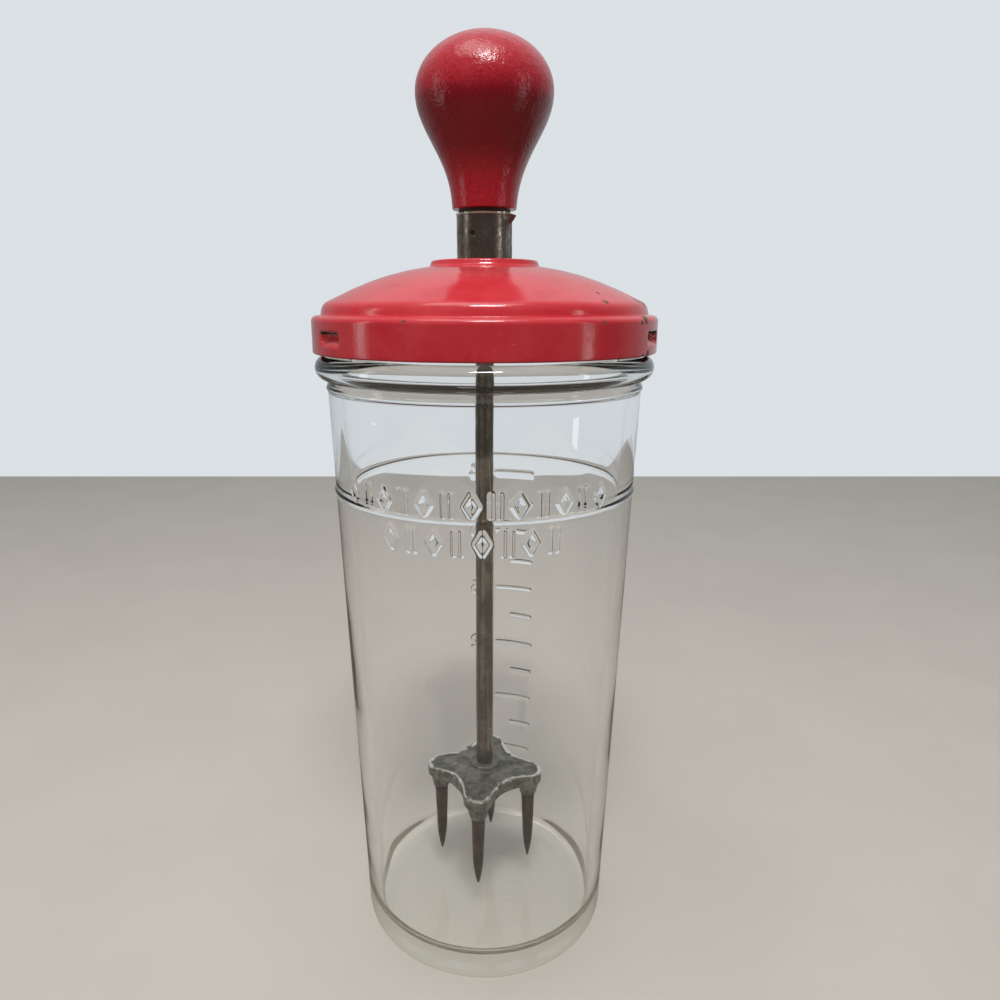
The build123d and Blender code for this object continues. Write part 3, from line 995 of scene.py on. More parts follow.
@dataclass
class Jar:
    """Pressed glass jar with its rings, lug ribs, band of ornaments and scale."""

    foot: float = 40.35 * MM
    shoulder: float = 46.0 * MM
    shoulder_height: float = 178.0 * MM
    wall: float = 4.1 * MM
    floor: float = 6.6 * MM
    heel_round: float = 3.4 * MM
    floor_corner: float = 6.0 * MM
    hollow_radius: float = 32.35 * MM
    hollow_depth: float = 1.3 * MM
    hollow_slope: float = 4.0 * MM
    hollow_corner: float = 1.6 * MM
    face_height: float = 1.3 * MM
    neck: float = 46.8 * MM
    neck_foot: float = 190.2 * MM
    neck_rise: float = 0.5 * MM
    neck_corner: float = 0.9 * MM
    mouth: float = 42.4 * MM
    rim_round: float = 1.6 * MM
    line_height: float = 149.5 * MM
    ring_height: float = 179.4 * MM
    relief: float = 0.45 * MM
    line_half_width: float = 0.95 * MM
    ring_half_width: float = 1.25 * MM
    band_top: float = 158 * MM
    groove: float = 45.5 * MM
    groove_drop: float = 0.2 * MM
    groove_corner: float = 0.7 * MM
    bead: float = 49.4 * MM
    bead_height: float = 185.2 * MM
    bead_round: float = 3.5 * MM
    rib_reach: float = 1.7 * MM
    rib_height: float = 195.9 * MM
    rib_half_height: float = 0.95 * MM
    rib_arc: float = math.radians(56.0)
    rib_middle: float = math.radians(-24.0 - 6.9 - 10.0 - 28.0)
    rib_count: int = 3
    rib_slope: float = 0.6 * MM
    rib_end: float = math.radians(4)
    throat_foot: Point = (3.5 * MM, 110 * MM)
    throat_bend: float = 6 * MM
    stroke_half_width: float = 1.0 * MM
    mark_relief: float = 0.55 * MM
    mark_margin: float = 1.6 * MM
    marks_foot: float = 25 * MM
    skin: float = 1.0 * MM
    ornament_size: float = 5.9 * MM
    ornament_rows: tuple[tuple[float, float, int, float], ...] = (
        (-51.0, 42.5, 13, 150.55 * MM),
        (-33.0, 23.5, 8, 140.6 * MM),
    )
    ornament_fade: tuple[float, float] = (60.0, 32.0)
    scale_foot: float = 32.6 * MM
    scale_pitch: float = 11.05 * MM
    scale_count: int = 11
    tick_lengths: tuple[float, float] = (13.8 * MM, 8.0 * MM)
    tick_left: float = 18.8 * MM
    digit_size: float = 4.4 * MM
    digit_pitch: float = 3.5 * MM
    digit_left: float = 1.2 * MM
    steps_round: int = 224
    wave_size: float = 24 * MM
    wave_depth: float = 0.10 * MM
    finish: PressedGlass = field(default_factory=PressedGlass)

    def wall_radius(self, height: float | np.ndarray) -> float | np.ndarray:
        """Gives the outer radius of the tapering wall."""
        return self.foot + (self.shoulder - self.foot) * height / self.shoulder_height

    def on_wall(self, height: float, proud: float = 0.0) -> Point:
        """Gives the outline's point at this height, on the wall or standing proud of it."""
        return (self.wall_radius(height) + proud, height)

    def ripple(self, height: float, half_width: float) -> list[Point]:
        """Gives the outline of a raised ring on the wall."""
        made = []
        for share in np.linspace(-1, 1, 13):
            proud = self.relief * math.cos(share * math.pi / 2) ** 2
            made.append(self.on_wall(height + share * half_width, proud))
        return made

    def base(self) -> list[Point]:
        """Gives the outline of the underside and the heel's rounding."""
        hollow = [
            (0, self.hollow_depth),
            (self.hollow_radius - self.hollow_slope, self.hollow_depth),
            (self.hollow_radius, 0),
            (self.foot - self.heel_round, 0),
        ]
        taper = math.atan2(self.shoulder - self.foot, self.shoulder_height)
        heel_top = self.heel_round * (1 - math.sin(taper))
        across = self.wall_radius(heel_top) - self.heel_round * math.cos(taper)
        heel = arc((across, self.heel_round), self.heel_round, -90, -math.degrees(taper), 10)
        return softened(hollow, self.hollow_corner) + heel

    def neck_outline(self, ring_top: Point) -> list[Point]:
        """Gives the outline from the top of the ring over the bead up to the rim's outer edge."""
        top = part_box("jar")[1].z
        bead = arc((self.bead - self.bead_round, self.bead_height), self.bead_round, -88, 72, 24)
        groove = (self.groove, bead[0][1] - self.groove_drop)
        neck_foot = (self.neck, self.neck_foot)
        neck_corner = (self.neck, bead[-1][1] + self.neck_rise)
        rib_shares = np.linspace(-1.1, 0.0, 8)
        return joined(
            softened([ring_top, groove, bead[0]], self.groove_corner),
            bead,
            softened([bead[-1], neck_corner, neck_foot], self.neck_corner),
            [neck_foot],
            [(self.neck, self.rib_height + self.rib_half_height * share) for share in rib_shares],
            arc((self.neck - self.rim_round, top - self.rim_round), self.rim_round, 0, 90, 8),
        )

    def outside(self) -> list[Point]:
        """Gives the outline from the middle of the underside up to the rim's outer edge."""
        base = self.base()
        line = self.ripple(self.line_height, self.line_half_width)
        ring = self.ripple(self.ring_height, self.ring_half_width)
        line_foot = self.line_height - self.line_half_width
        line_top = self.line_height + self.line_half_width
        ring_foot = self.ring_height - self.ring_half_width
        band_top = self.on_wall(self.band_top)
        low_steps = int((line_foot - base[-1][1]) / self.face_height)
        return joined(
            base,
            straight(self.on_wall(base[-1][1]), self.on_wall(line_foot), low_steps),
            line,
            straight(self.on_wall(line_top), band_top, 7),
            straight(band_top, self.on_wall(ring_foot), 4),
            ring,
            self.neck_outline(ring[-1]),
        )

    def inside(self) -> list[Point]:
        """Gives the outline from the rim's inner edge down to the middle of the floor."""
        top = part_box("jar")[1].z
        lip = arc((self.mouth + self.rim_round, top - self.rim_round), self.rim_round, 90, 180, 8)
        shoulder = (self.shoulder - self.wall, self.shoulder_height)
        corner = self.floor_corner
        wall_foot = self.on_wall(self.floor + corner, -self.wall)
        throat_foot = (wall_foot[0] + self.throat_foot[0], self.throat_foot[1])
        throat = softened([lip[-1], shoulder, throat_foot], self.throat_bend)
        side = straight(shoulder, wall_foot, 42)[1:]
        bend = arc((wall_foot[0] - corner, wall_foot[1]), corner, 0, -90, 12)
        floor = straight(bend[-1], (0, self.floor), 6)
        return joined(lip, [p for p in throat if p[1] > shoulder[1]], side, bend, floor)

    def band_marks(self) -> list[Mark]:
        """Gives the two rows of ornaments at the fill line, which fade towards the mould's joint."""
        fade_end, fade_run = np.radians(self.ornament_fade)
        motifs = list(Motif)
        middle = motifs[0].width / 2 * self.ornament_size / self.shoulder
        marks = []
        for first, last, count, height in self.ornament_rows:
            for index, angle in enumerate(np.radians(np.linspace(first, last, count))):
                strokes = motifs[index % len(motifs)].strokes()
                share = eased((fade_end - abs(angle)) / fade_run)
                left = angle + FRONT - middle
                marks.append(Mark(left, height, self.ornament_size, strokes, share))
        return marks

    def scale_marks(self) -> list[Mark]:
        """Gives the scale on the back: long and short ticks, with numbers at the long ones."""
        marks = []
        for index in range(self.scale_count):
            height = self.scale_foot + self.scale_pitch * index
            wall = self.wall_radius(height)
            number, is_short = divmod(index, 2)
            length = self.tick_lengths[is_short]
            tick = Mark(BACK - self.tick_left / wall, height, length, [[(0.0, 0.0), (1.0, 0.0)]])
            marks.append(tick)
            for place, digit in enumerate("" if is_short else str(4 * (number + 1))):
                turn = BACK + (place * self.digit_pitch - self.digit_left) / wall
                foot = height - self.digit_size / 2
                marks.append(Mark(turn, foot, self.digit_size, DIGITS[digit]))
        return marks

    def press_marks(self, jar: bpy.types.Object) -> None:
        """Raises the marks on the wall, on a finer grid where they are."""
        marks = self.band_marks() + self.scale_marks()
        margin = self.mark_margin

        def near_mark(middles: np.ndarray) -> np.ndarray:
            """Tells which faces of the outer wall lie at a mark."""
            heights, angles = middles[:, 2], angles_of(middles)
            walls = self.wall_radius(heights)
            near = np.zeros(len(middles), bool)
            for mark in marks:
                width, tall = mark.extent()
                across = angle_between(angles, mark.angle) * walls
                up = heights - mark.height
                in_width = (across > -margin) & (across < width + margin)
                near |= in_width & (up > -margin) & (up < tall + margin)
            return near & (radii_of(middles) > walls - self.skin)

        refine(jar, 3, near_mark)

        def pressed(places: np.ndarray) -> np.ndarray:
            """Moves the wall's places out where a stroke is, and rounds the finer grid."""
            radii, heights, angles = radii_of(places), places[:, 2], angles_of(places)
            walls = self.wall_radius(heights)
            line = np.abs(heights - self.line_height) < self.line_half_width
            on_wall = (heights > self.marks_foot) & (heights < self.band_top)
            on_wall &= radii > walls - 2 * SLACK
            wanted = np.where(on_wall & ~line, walls, radii)
            for mark in marks:
                across = angle_between(angles, mark.angle) * walls
                reach = mark.size * 1.1 + margin
                close = on_wall & (np.abs(across) < reach) & (np.abs(heights - mark.height) < reach)
                proud = mark.relief(across[close], heights[close], self.stroke_half_width)
                wanted[close] = np.maximum(wanted[close], walls[close] + self.mark_relief * proud)
            return at_radii(places, wanted)

        reshape(jar, pressed)

    def raise_ribs(self, jar: bpy.types.Object) -> None:
        """Raises the three ribs on the neck that the lid's lugs turn under."""

        def ribbed(places: np.ndarray) -> np.ndarray:
            """Moves the neck's places out along the ribs."""
            radii, heights, angles = radii_of(places), places[:, 2], angles_of(places)
            outside = radii > self.neck - self.skin
            proud = self.rib_half_height - np.abs(heights - self.rib_height)
            proud = self.rib_reach * eased(proud / self.rib_slope)
            along = np.zeros(len(places))
            for index in range(self.rib_count):
                middle = self.rib_middle + FULL_TURN * index / self.rib_count
                away = np.abs(angle_between(angles, middle))
                along = np.maximum(along, eased((self.rib_arc / 2 - away) / self.rib_end))
            return at_radii(places, radii + outside * proud * along)

        reshape(jar, ribbed)

    def uneven_inside(self, jar: bpy.types.Object) -> None:
        """Gives the inner wall and the floor the slow waves of pressed glass."""

        def waved(places: np.ndarray) -> np.ndarray:
            """Moves the inner places a little."""
            radii, heights = radii_of(places), places[:, 2]
            inner = (heights > self.floor - SLACK) & (heights < self.neck_foot - 2 * SLACK)
            inner &= radii < self.wall_radius(heights) - self.wall / 2
            sway = np.zeros(len(places))
            sway[inner] = unevenness(places[inner], self.wave_size, seed=3.7)
            return at_radii(places, radii + sway * self.wave_depth)

        reshape(jar, waved)

    def mark_underside(self, jar: bpy.types.Object) -> None:
        """Writes the underside attribute: 1 on the faces that look down at the foot, 0 elsewhere."""
        faces = jar.data.polygons
        below = vectors(faces, "center")[:, 2] < self.hollow_depth + SLACK
        looks_down = vectors(faces, "normal")[:, 2] < -0.9
        write_mask(jar, "underside", "FACE", below & looks_down)

    def build(self) -> list[bpy.types.Object]:
        """Builds the jar as one closed glass body, and gives it."""
        outline = joined(self.outside(), self.inside())
        jar = turned("jar_glass", outline, self.steps_round)
        self.raise_ribs(jar)
        self.press_marks(jar)
        self.uneven_inside(jar)
        settle(jar, 60)
        self.mark_underside(jar)
        jar.data.materials.append(self.finish.make())
        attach(jar, "jar")
        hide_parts("jar")
        return [jar]


# The lid


@dataclass
class Lid:
    """Pressed steel lid with three lugs and a raised centre with a hole."""

    sheet: float = 0.40 * MM
    hem_width: float = 0.9 * MM
    hem_height: float = 1.9 * MM
    ledge_width: float = 2.7 * MM
    ledge_drop: float = 15.05 * MM
    skirt_height: float = 10.3 * MM
    dome_shoulder: float = 5.3 * MM
    crown_round: float = 78.0 * MM
    collar: float = 15.8 * MM
    collar_lean: float = 0.6 * MM
    collar_rise: float = 1.65 * MM
    hole: float = 4.05 * MM
    corner_reach: float = 1.7 * MM
    skirt_corner: float = 1.6 * MM
    shoulder_pull: float = 0.55
    shoulder_lean: float = 0.12
    lug_angles: tuple[float, ...] = (-24.0, 96.0, 216.0)
    lug_half_arc: float = math.radians(6.9)
    lug_foot_rise: float = 2.1 * MM
    lug_height: float = 3.6 * MM
    lug_slit: float = 0.7 * MM
    lug_reach: float = 2.1 * MM
    lug_droop: float = 0.25 * MM
    lug_margins: tuple[float, float] = (1.0 * MM, 1.5 * MM)
    dent_size: float = 16 * MM
    dent_depth: float = 0.10 * MM
    dented_from: float = 20 * MM
    steps_round: int = 360
    finish: RedEnamel = field(default_factory=RedEnamel)

    def outline(self) -> list[Point]:
        """Gives the sheet's outer face, from the hole down to the hem's inner edge."""
        radius, _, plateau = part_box("lid_shell")[1]
        ledge = plateau - self.ledge_drop
        corner = self.skirt_corner
        pressed = joined(
            [(self.hole, plateau), (self.collar - self.collar_lean, plateau)],
            self.dome(radius, plateau),
            [(radius - corner, ledge)],
        )
        bottom = ledge - self.skirt_height
        slit_foot = bottom + self.lug_foot_rise + self.lug_height
        slit_top = slit_foot + self.lug_slit
        fold = self.hem_width / 2
        return joined(
            softened(pressed, self.corner_reach),
            arc((radius - corner, ledge - corner), corner, 90, 0, 12),
            straight((radius, ledge - corner), (radius, slit_top), 2),
            straight((radius, slit_foot), (radius, bottom + fold), 7),
            arc((radius - fold, bottom + fold), fold, 0, -180, 8),
            [(radius - self.hem_width, bottom + self.hem_height)],
        )

    def dome(self, radius: float, plateau: float) -> list[Point]:
        """Gives the crown and the shoulder that falls from it to the ledge.

        Args:
            radius: The lid's outer radius.
            plateau: Height of the flat middle.

        Returns:
            The outline from the collar outwards.
        """
        ledge = plateau - self.ledge_drop
        top = (self.collar, plateau - self.collar_rise)
        foot = (radius - self.ledge_width - self.dome_shoulder, ledge + self.dome_shoulder)
        centre = self.crown_centre(foot, top)
        start, stop = (math.atan2(p[1] - centre[1], p[0] - centre[0]) for p in (top, foot))
        crown = arc(centre, self.crown_round, math.degrees(start), math.degrees(stop), 30)
        dome_foot = (radius - self.ledge_width, ledge)
        handle = self.shoulder_pull * math.dist(foot, dome_foot)
        leaving = (foot[0] + handle * math.sin(stop), foot[1] - handle * math.cos(stop))
        arriving = (dome_foot[0] - self.shoulder_lean * handle, dome_foot[1] + handle)
        return crown + curve(foot, leaving, arriving, dome_foot, 14)

    def crown_centre(self, foot: Point, top: Point) -> Point:
        """Gives the centre of the crown's arc through its foot and its top."""
        middle = ((foot[0] + top[0]) / 2, (foot[1] + top[1]) / 2)
        chord = math.dist(foot, top)
        drop = math.sqrt(self.crown_round**2 - chord**2 / 4)
        along = ((top[0] - foot[0]) / chord, (top[1] - foot[1]) / chord)
        return (middle[0] + along[1] * -drop, middle[1] + along[0] * drop)

    def press_lugs(self, lid: bpy.types.Object) -> None:
        """Cuts a slit over each lug and presses the sheet under it inwards."""
        low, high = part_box("lid_shell")
        radius = high.x
        foot = low.z + self.lug_foot_rise
        slit_foot = foot + self.lug_height
        slit_top = slit_foot + self.lug_slit
        inner_edge = radius - 3 * SLACK
        lugs = np.radians(self.lug_angles)
        below, above = self.lug_margins

        def lug_share(places: np.ndarray) -> np.ndarray:
            """Tells how far each place is from the nearest lug's middle, in half arcs."""
            turns = angles_of(places)
            away = np.min([np.abs(angle_between(turns, lug)) for lug in lugs], axis=0)
            return away / self.lug_half_arc

        def near_lug(middles: np.ndarray) -> np.ndarray:
            """Tells which faces of the skirt lie at a lug."""
            heights = middles[:, 2]
            at_lug = (heights > foot - below) & (heights < slit_top + above)
            return at_lug & (radii_of(middles) > inner_edge) & (lug_share(middles) < 1.5)

        def in_slit(middles: np.ndarray) -> np.ndarray:
            """Tells which faces lie in a slit."""
            heights = middles[:, 2]
            return (heights > slit_foot) & (heights < slit_top) & (lug_share(middles) < 0.93)

        refine(lid, 2, near_lug)
        with faces_picked(lid, in_slit):
            bpy.ops.mesh.delete(type="FACE")

        def dented(places: np.ndarray) -> np.ndarray:
            """Moves the sheet under each slit inwards."""
            radii, heights, share = radii_of(places), places[:, 2], lug_share(places)
            side = eased((1.0 - share) / 0.4)
            rise = eased((heights - foot) / self.lug_height)
            on_skirt = radii > inner_edge
            below = heights < slit_foot + SLACK / 2
            at_slit = ~below & (heights < slit_top + SLACK)
            depth = below * side * rise * self.lug_reach
            droop = at_slit * eased((1.1 - share) / 0.5) * self.lug_droop
            return at_radii(places, radii - on_skirt * (depth + droop))

        reshape(lid, dented)

    def unevenly_pressed(self, lid: bpy.types.Object) -> None:
        """Gives the skirt and dome the shallow dents of an old lid."""
        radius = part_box("lid_shell")[1].x

        def moved(places: np.ndarray) -> np.ndarray:
            """Moves the sheet inwards by up to a few hundredths."""
            radii = radii_of(places)
            sway = unevenness(places, self.dent_size, seed=8.1) * 0.5 + 0.5
            share = eased((radii - self.dented_from) / self.dented_from)
            return at_radii(places, np.minimum(radii - self.dent_depth * sway * share, radius))

        reshape(lid, moved)

    def mark_lining(self, lid: bpy.types.Object) -> None:
        """Writes the lining attribute: 1 on faces that look inwards or down, 0 elsewhere."""
        faces = lid.data.polygons
        normals, middles = vectors(faces, "normal"), vectors(faces, "center")
        outward = (normals[:, :2] * middles[:, :2]).sum(axis=1) / radii_of(middles)
        hem_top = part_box("lid_shell")[0].z + self.hem_height
        looks_in = (outward + normals[:, 2] < 0) & (middles[:, 2] > hem_top - 3 * SLACK)
        write_mask(lid, "lining", "FACE", looks_in)

    def build(self) -> list[bpy.types.Object]:
        """Builds the lid's shell."""
        lid = turned("lid_pressing", self.outline(), self.steps_round, closed=False)
        self.press_lugs(lid)
        self.unevenly_pressed(lid)
        modify(lid, "SOLIDIFY", thickness=self.sheet, offset=-1.0, use_even_offset=True)
        settle(lid, 50)
        self.mark_lining(lid)
        lid.data.materials.append(self.finish.make())
        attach(lid, "lid")
        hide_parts("lid_shell")
        return [lid]


# The plunger


@dataclass
class Knob:
    """Turned wooden knob with its tenon, painted red."""

    foot: float = 9.03 * MM
    belly: float = 19.1 * MM
    belly_rise: float = 29.8 * MM
    foot_lean: float = 0.08
    foot_pull: float = 15.0 * MM
    belly_pull: float = 9.45 * MM
    tenon: float = 7.31 * MM
    bore: float = 2.81 * MM
    bore_depth: float = 26.6 * MM
    foot_rise: float = 1.4 * MM
    foot_corner: float = 0.8 * MM
    wobble: float = 0.22 * MM
    wobble_size: float = 11 * MM
    wobble_run: float = 8 * MM
    steps_round: int = 192
    finish: PaintedWood = field(default_factory=PaintedWood)

    def foot_height(self) -> float:
        """Gives the height of the painted foot, a little over the ferrule."""
        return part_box("ferrule")[1].z + self.foot_rise

    def outline(self) -> list[Point]:
        """Gives the knob's outline from the bore's end down to the tenon and up to the top."""
        low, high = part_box("knob")
        foot_height = self.foot_height()
        belly_height = foot_height + self.belly_rise
        start, stop = (self.foot, foot_height), (self.belly, belly_height)
        first = (start[0] + self.foot_pull * self.foot_lean, start[1] + self.foot_pull)
        second = (stop[0], stop[1] - self.belly_pull)
        bore_end = foot_height + self.bore_depth
        side = curve(start, first, second, stop, 40)
        return joined(
            [(0, bore_end), (self.bore, bore_end), (self.bore, low.z), (self.tenon, low.z)],
            softened([(self.tenon, foot_height), start, side[3]], self.foot_corner),
            side[3:],
            oval((0, belly_height), self.belly, high.z - belly_height, 0, 90, 32),
        )

    def build(self) -> list[bpy.types.Object]:
        """Builds the knob, slightly out of true as hand turning leaves it."""
        knob = turned("knob_turning", self.outline(), self.steps_round)
        foot_height = self.foot_height()
        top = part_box("knob")[1].z

        def out_of_true(places: np.ndarray) -> np.ndarray:
            """Moves the painted surface in a little, and less near its foot."""
            share = eased((places[:, 2] - foot_height) / self.wobble_run)
            sway = unevenness(places, self.wobble_size, seed=5.3) * 0.5 - 0.5
            moved = at_radii(places, radii_of(places) + self.wobble * sway * share)
            moved[:, 2] = np.minimum(moved[:, 2], top)
            return moved

        reshape(knob, out_of_true)
        settle(knob, 50)
        knob.data.materials.append(self.finish.make())
        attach(knob, "plunger")
        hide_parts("knob")
        return [knob]


@dataclass
class Ferrule:
    """Tube rolled from a strip, lapped along one side, with a dimple at the pin."""

    radius: float = 7.94 * MM
    wall: float = 0.45 * MM
    lap: float = math.radians(16.0)
    seam: float = math.radians(68.0) + FRONT
    pin_angle: float = math.radians(-115.0)
    pin_height: float = 221.8 * MM
    dimple: float = 1.3 * MM
    dimple_depth: float = 0.35 * MM
    lip: float = 0.22 * MM
    lip_rise: float = 0.45 * MM
    torn_flare: float = 1.5 * MM
    torn_droop: float = 0.7 * MM
    dent_size: float = 4 * MM
    dent_depth: float = 0.06 * MM
    edge_wear: float = 0.15 * MM
    steps_round: int = 220
    steps_up: int = 40
    finish: WornMetal = FERRULE_NICKEL

    def build(self) -> list[bpy.types.Object]:
        """Rolls the strip into a tube and flares the torn end of its lap."""
        low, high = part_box("ferrule")
        tall = high.z - low.z
        whole_turn = FULL_TURN + self.lap
        length = self.radius * whole_turn
        grid = {"x_subdivisions": self.steps_round, "y_subdivisions": self.steps_up}
        ferrule = added(bpy.ops.mesh.primitive_grid_add, "ferrule_tube", size=1.0, **grid)
        with editing(ferrule):
            bpy.ops.transform.resize(value=(length, tall, 1))

        def rolled(places: np.ndarray) -> np.ndarray:
            """Rolls the flat strip round the axis."""
            rise = places[:, 1] / tall + 0.5
            turn = self.seam - self.lap + (places[:, 0] / length + 0.5) * whole_turn
            heights = low.z + rise * (tall + self.lip_rise)
            under = 1 - eased((turn - self.seam) / (self.lap * 0.8))
            torn = eased((turn - self.seam - FULL_TURN + 0.5) / 0.5) * eased((rise - 0.7) / 0.3)
            round_pin = angle_between(turn, self.pin_angle) * self.radius
            away = np.hypot(round_pin, heights - self.pin_height)
            dents = unevenness(places, self.dent_size, seed=2.2)
            radii = self.radius - self.wall * (1.05 * under + 0.12)
            radii += torn * self.torn_flare
            radii += self.lip * eased((rise - 0.93) / 0.07)
            radii -= self.dimple_depth * np.exp(-((away / (self.dimple * 0.6)) ** 2))
            radii += dents * self.dent_depth
            heights -= rise**8 * self.edge_wear * (1 + dents) + torn * self.torn_droop
            return np.column_stack([radii * np.cos(turn), radii * np.sin(turn), heights])

        reshape(ferrule, rolled)
        with editing(ferrule):
            bpy.ops.mesh.normals_make_consistent(inside=False)
        outward = ferrule.data.polygons[0]
        if outward.normal.to_2d().dot(outward.center.to_2d()) < 0:
            turn_over(ferrule)
        modify(ferrule, "SOLIDIFY", thickness=self.wall, offset=-1.0)
        settle(ferrule, 50)
        ferrule.data.materials.append(self.finish.make())
        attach(ferrule, "plunger")
        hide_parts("ferrule")
        return [ferrule]


@dataclass
class Rod:
    """Straight rod, shouldered on the head and peened under it."""

    radius: float = 2.78 * MM
    tenon: float = 2.0 * MM
    peen: float = 3.3 * MM
    peen_height: float = 1.6 * MM
    shoulder_height: float = 52.4 * MM
    shoulder_edge: float = 0.3 * MM
    top_edge: float = 0.4 * MM
    steps_round: int = 48
    finish: WornMetal = ROD_STEEL

    def build(self) -> list[bpy.types.Object]:
        """Turns the rod."""
        low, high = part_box("rod")
        rise = self.peen_height / 2
        peen = oval((0, low.z + rise), self.peen, rise, -90, 90, 12)
        shaft_foot = (self.radius, self.shoulder_height + self.shoulder_edge)
        outline = joined(
            [p for p in peen if p[0] > self.tenon or p[1] < low.z + rise],
            [(self.tenon, low.z + self.peen_height), (self.tenon, self.shoulder_height)],
            [(self.radius - self.shoulder_edge, self.shoulder_height)],
            straight(shaft_foot, (self.radius, high.z - self.top_edge), 40),
            [(self.radius - self.top_edge, high.z), (0, high.z)],
        )
        rod = turned("plunger_rod", outline, self.steps_round)
        rod.data.materials.append(self.finish.make())
        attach(rod, "plunger")
        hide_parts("rod")
        return [rod]


@dataclass
class AgitatorHead:
    """Cast four-lobed head, dished on top, with a boss for each prong."""

    angle: float = math.radians(-8.0)
    lobe_circle: float = 15.0 * MM
    lobe: float = 4.6 * MM
    waist: float = 12.0 * MM
    hub: float = 4.7 * MM
    hub_top: float = 52.4 * MM
    plate_top: float = 51.4 * MM
    tip_fall: float = 1.2 * MM
    web: float = 5.0 * MM
    hub_spread: float = 1.2 * MM
    hub_sink: float = 1.0 * MM
    rim_width: float = 1.5 * MM
    rim_middle: float = 0.7 * MM
    dish: float = 0.7 * MM
    dish_slope: float = 0.6 * MM
    boss_root: float = 4.3 * MM
    boss_tip: float = 2.75 * MM
    boss_sink: float = 2.5 * MM
    lumps: float = 0.28 * MM
    lump_size: float = 3.5 * MM
    grain: float = 0.34 * MM
    rim_blur: float = 1.7 * MM
    finish: CastZinc = HEAD_ZINC

    def reach(self, angle: float) -> float:
        """Gives the outline's radius at an angle from a lobe's middle."""
        away = abs(angle_between(angle, round(angle / (math.pi / 2)) * math.pi / 2))
        gap = self.lobe - self.waist
        side = (self.lobe_circle**2 - gap**2) / (2 * self.lobe_circle + 2 * math.sqrt(2) * gap)
        hollow = math.sqrt(2) * side - self.waist
        meet = self.lobe / (self.lobe + hollow)
        tangent = math.atan2(side * meet, self.lobe_circle + (side - self.lobe_circle) * meet)
        if away < tangent:
            across = self.lobe_circle * math.sin(away)
            return self.lobe_circle * math.cos(away) + math.sqrt(max(self.lobe**2 - across**2, 0))
        spread = math.pi / 4 - away
        middle = math.sqrt(2) * side
        return middle * math.cos(spread) - math.sqrt(hollow**2 - (middle * math.sin(spread)) ** 2)

    def plate(self) -> bpy.types.Object:
        """Makes the plate with its dished top."""
        foot = self.plate_top - self.web
        disc = {"vertices": 256, "radius": 1.0, "fill_type": "NGON", "location": (0, 0, foot)}
        plate = added(bpy.ops.mesh.primitive_circle_add, "head_plate", **disc)
        settle(plate)

        def starred(places: np.ndarray) -> np.ndarray:
            """Draws the circle in to the outline."""
            radii = np.array([self.reach(turn) for turn in angles_of(places)])
            return at_radii(places, radii)

        reshape(plate, starred)
        with editing(plate, "FACE"):
            bpy.ops.mesh.extrude_region_move(TRANSFORM_OT_translate={"value": (0, 0, self.web)})
            bpy.ops.mesh.inset(thickness=self.rim_width)
            bpy.ops.transform.translate(value=(0, 0, -self.dish))
            bpy.ops.mesh.inset(thickness=self.dish_slope)
            bpy.ops.mesh.poke()
        return plate

    def bosses(self) -> list[bpy.types.Object]:
        """Makes the four tapering bosses and the hub."""
        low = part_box("agitator_head")[0]
        foot = self.plate_top - self.web
        boss = {"radius1": self.boss_tip, "radius2": self.boss_root, "vertices": 48}
        boss_height = foot - low.z + self.boss_sink
        hub = {"radius1": self.hub + self.hub_spread, "radius2": self.hub, "vertices": 64}
        hub_height = self.hub_top - foot - self.hub_sink
        cones = []
        for turn in np.arange(4) * FULL_TURN / 4:
            across, along = self.lobe_circle * math.cos(turn), self.lobe_circle * math.sin(turn)
            cones.append((boss, boss_height, (across, along, low.z + boss_height / 2)))
        cones.append((hub, hub_height, (0, 0, self.hub_top - hub_height / 2)))
        add = bpy.ops.mesh.primitive_cone_add
        return [added(add, "boss", depth=tall, location=at, **cone) for cone, tall, at in cones]

    def build(self) -> list[bpy.types.Object]:
        """Casts the head in one piece and rounds it off."""
        plate = self.plate()
        with editing(plate):
            bpy.ops.mesh.normals_make_consistent(inside=False)
        take(plate, *self.bosses())
        bpy.ops.object.join()
        head = bpy.context.object
        head.name = head.data.name = "agitator_casting"
        take(head)
        bpy.ops.object.transform_apply(location=True, rotation=True, scale=True)
        modify(head, "REMESH", mode="VOXEL", voxel_size=self.grain)
        modify(head, "SMOOTH", factor=0.5, iterations=7)

        def fallen(places: np.ndarray) -> np.ndarray:
            """Lets the top fall towards the tips and turns the head to its place."""
            top = np.clip((places[:, 2] - self.plate_top + self.web) / self.web, 0, 1)
            heights = places[:, 2] - self.fall(places) * top
            heights += self.lumps * unevenness(places, self.lump_size, seed=1.4)
            radii, turns = radii_of(places), angles_of(places) + self.angle
            return np.column_stack([radii * np.cos(turns), radii * np.sin(turns), heights])

        reshape(head, fallen)
        self.mark_rim(head)
        settle(head, 70)
        head.data.materials.append(self.finish.make())
        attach(head, "plunger")
        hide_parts("agitator_head")
        return [head]

    def fall(self, places: np.ndarray) -> np.ndarray:
        """Gives how far the top has fallen at these places, from the hub out to the tips."""
        run = self.lobe_circle + self.lobe - self.hub
        return self.tip_fall * np.clip((radii_of(places) - self.hub) / run, 0, 1)

    def mark_rim(self, head: bpy.types.Object) -> None:
        """Writes the rim attribute: 1 along the top's edge, 0 away from it."""
        places = vectors(head.data.vertices, "co")
        outline = np.array([self.reach(turn - self.angle) for turn in angles_of(places)])
        inward = np.abs(outline - radii_of(places) - self.rim_middle)
        below = np.abs(places[:, 2] - self.plate_top + self.fall(places))
        near = eased(1 - inward / self.rim_blur) * eased(1 - below / self.rim_blur)
        write_mask(head, "rim", "POINT", near)


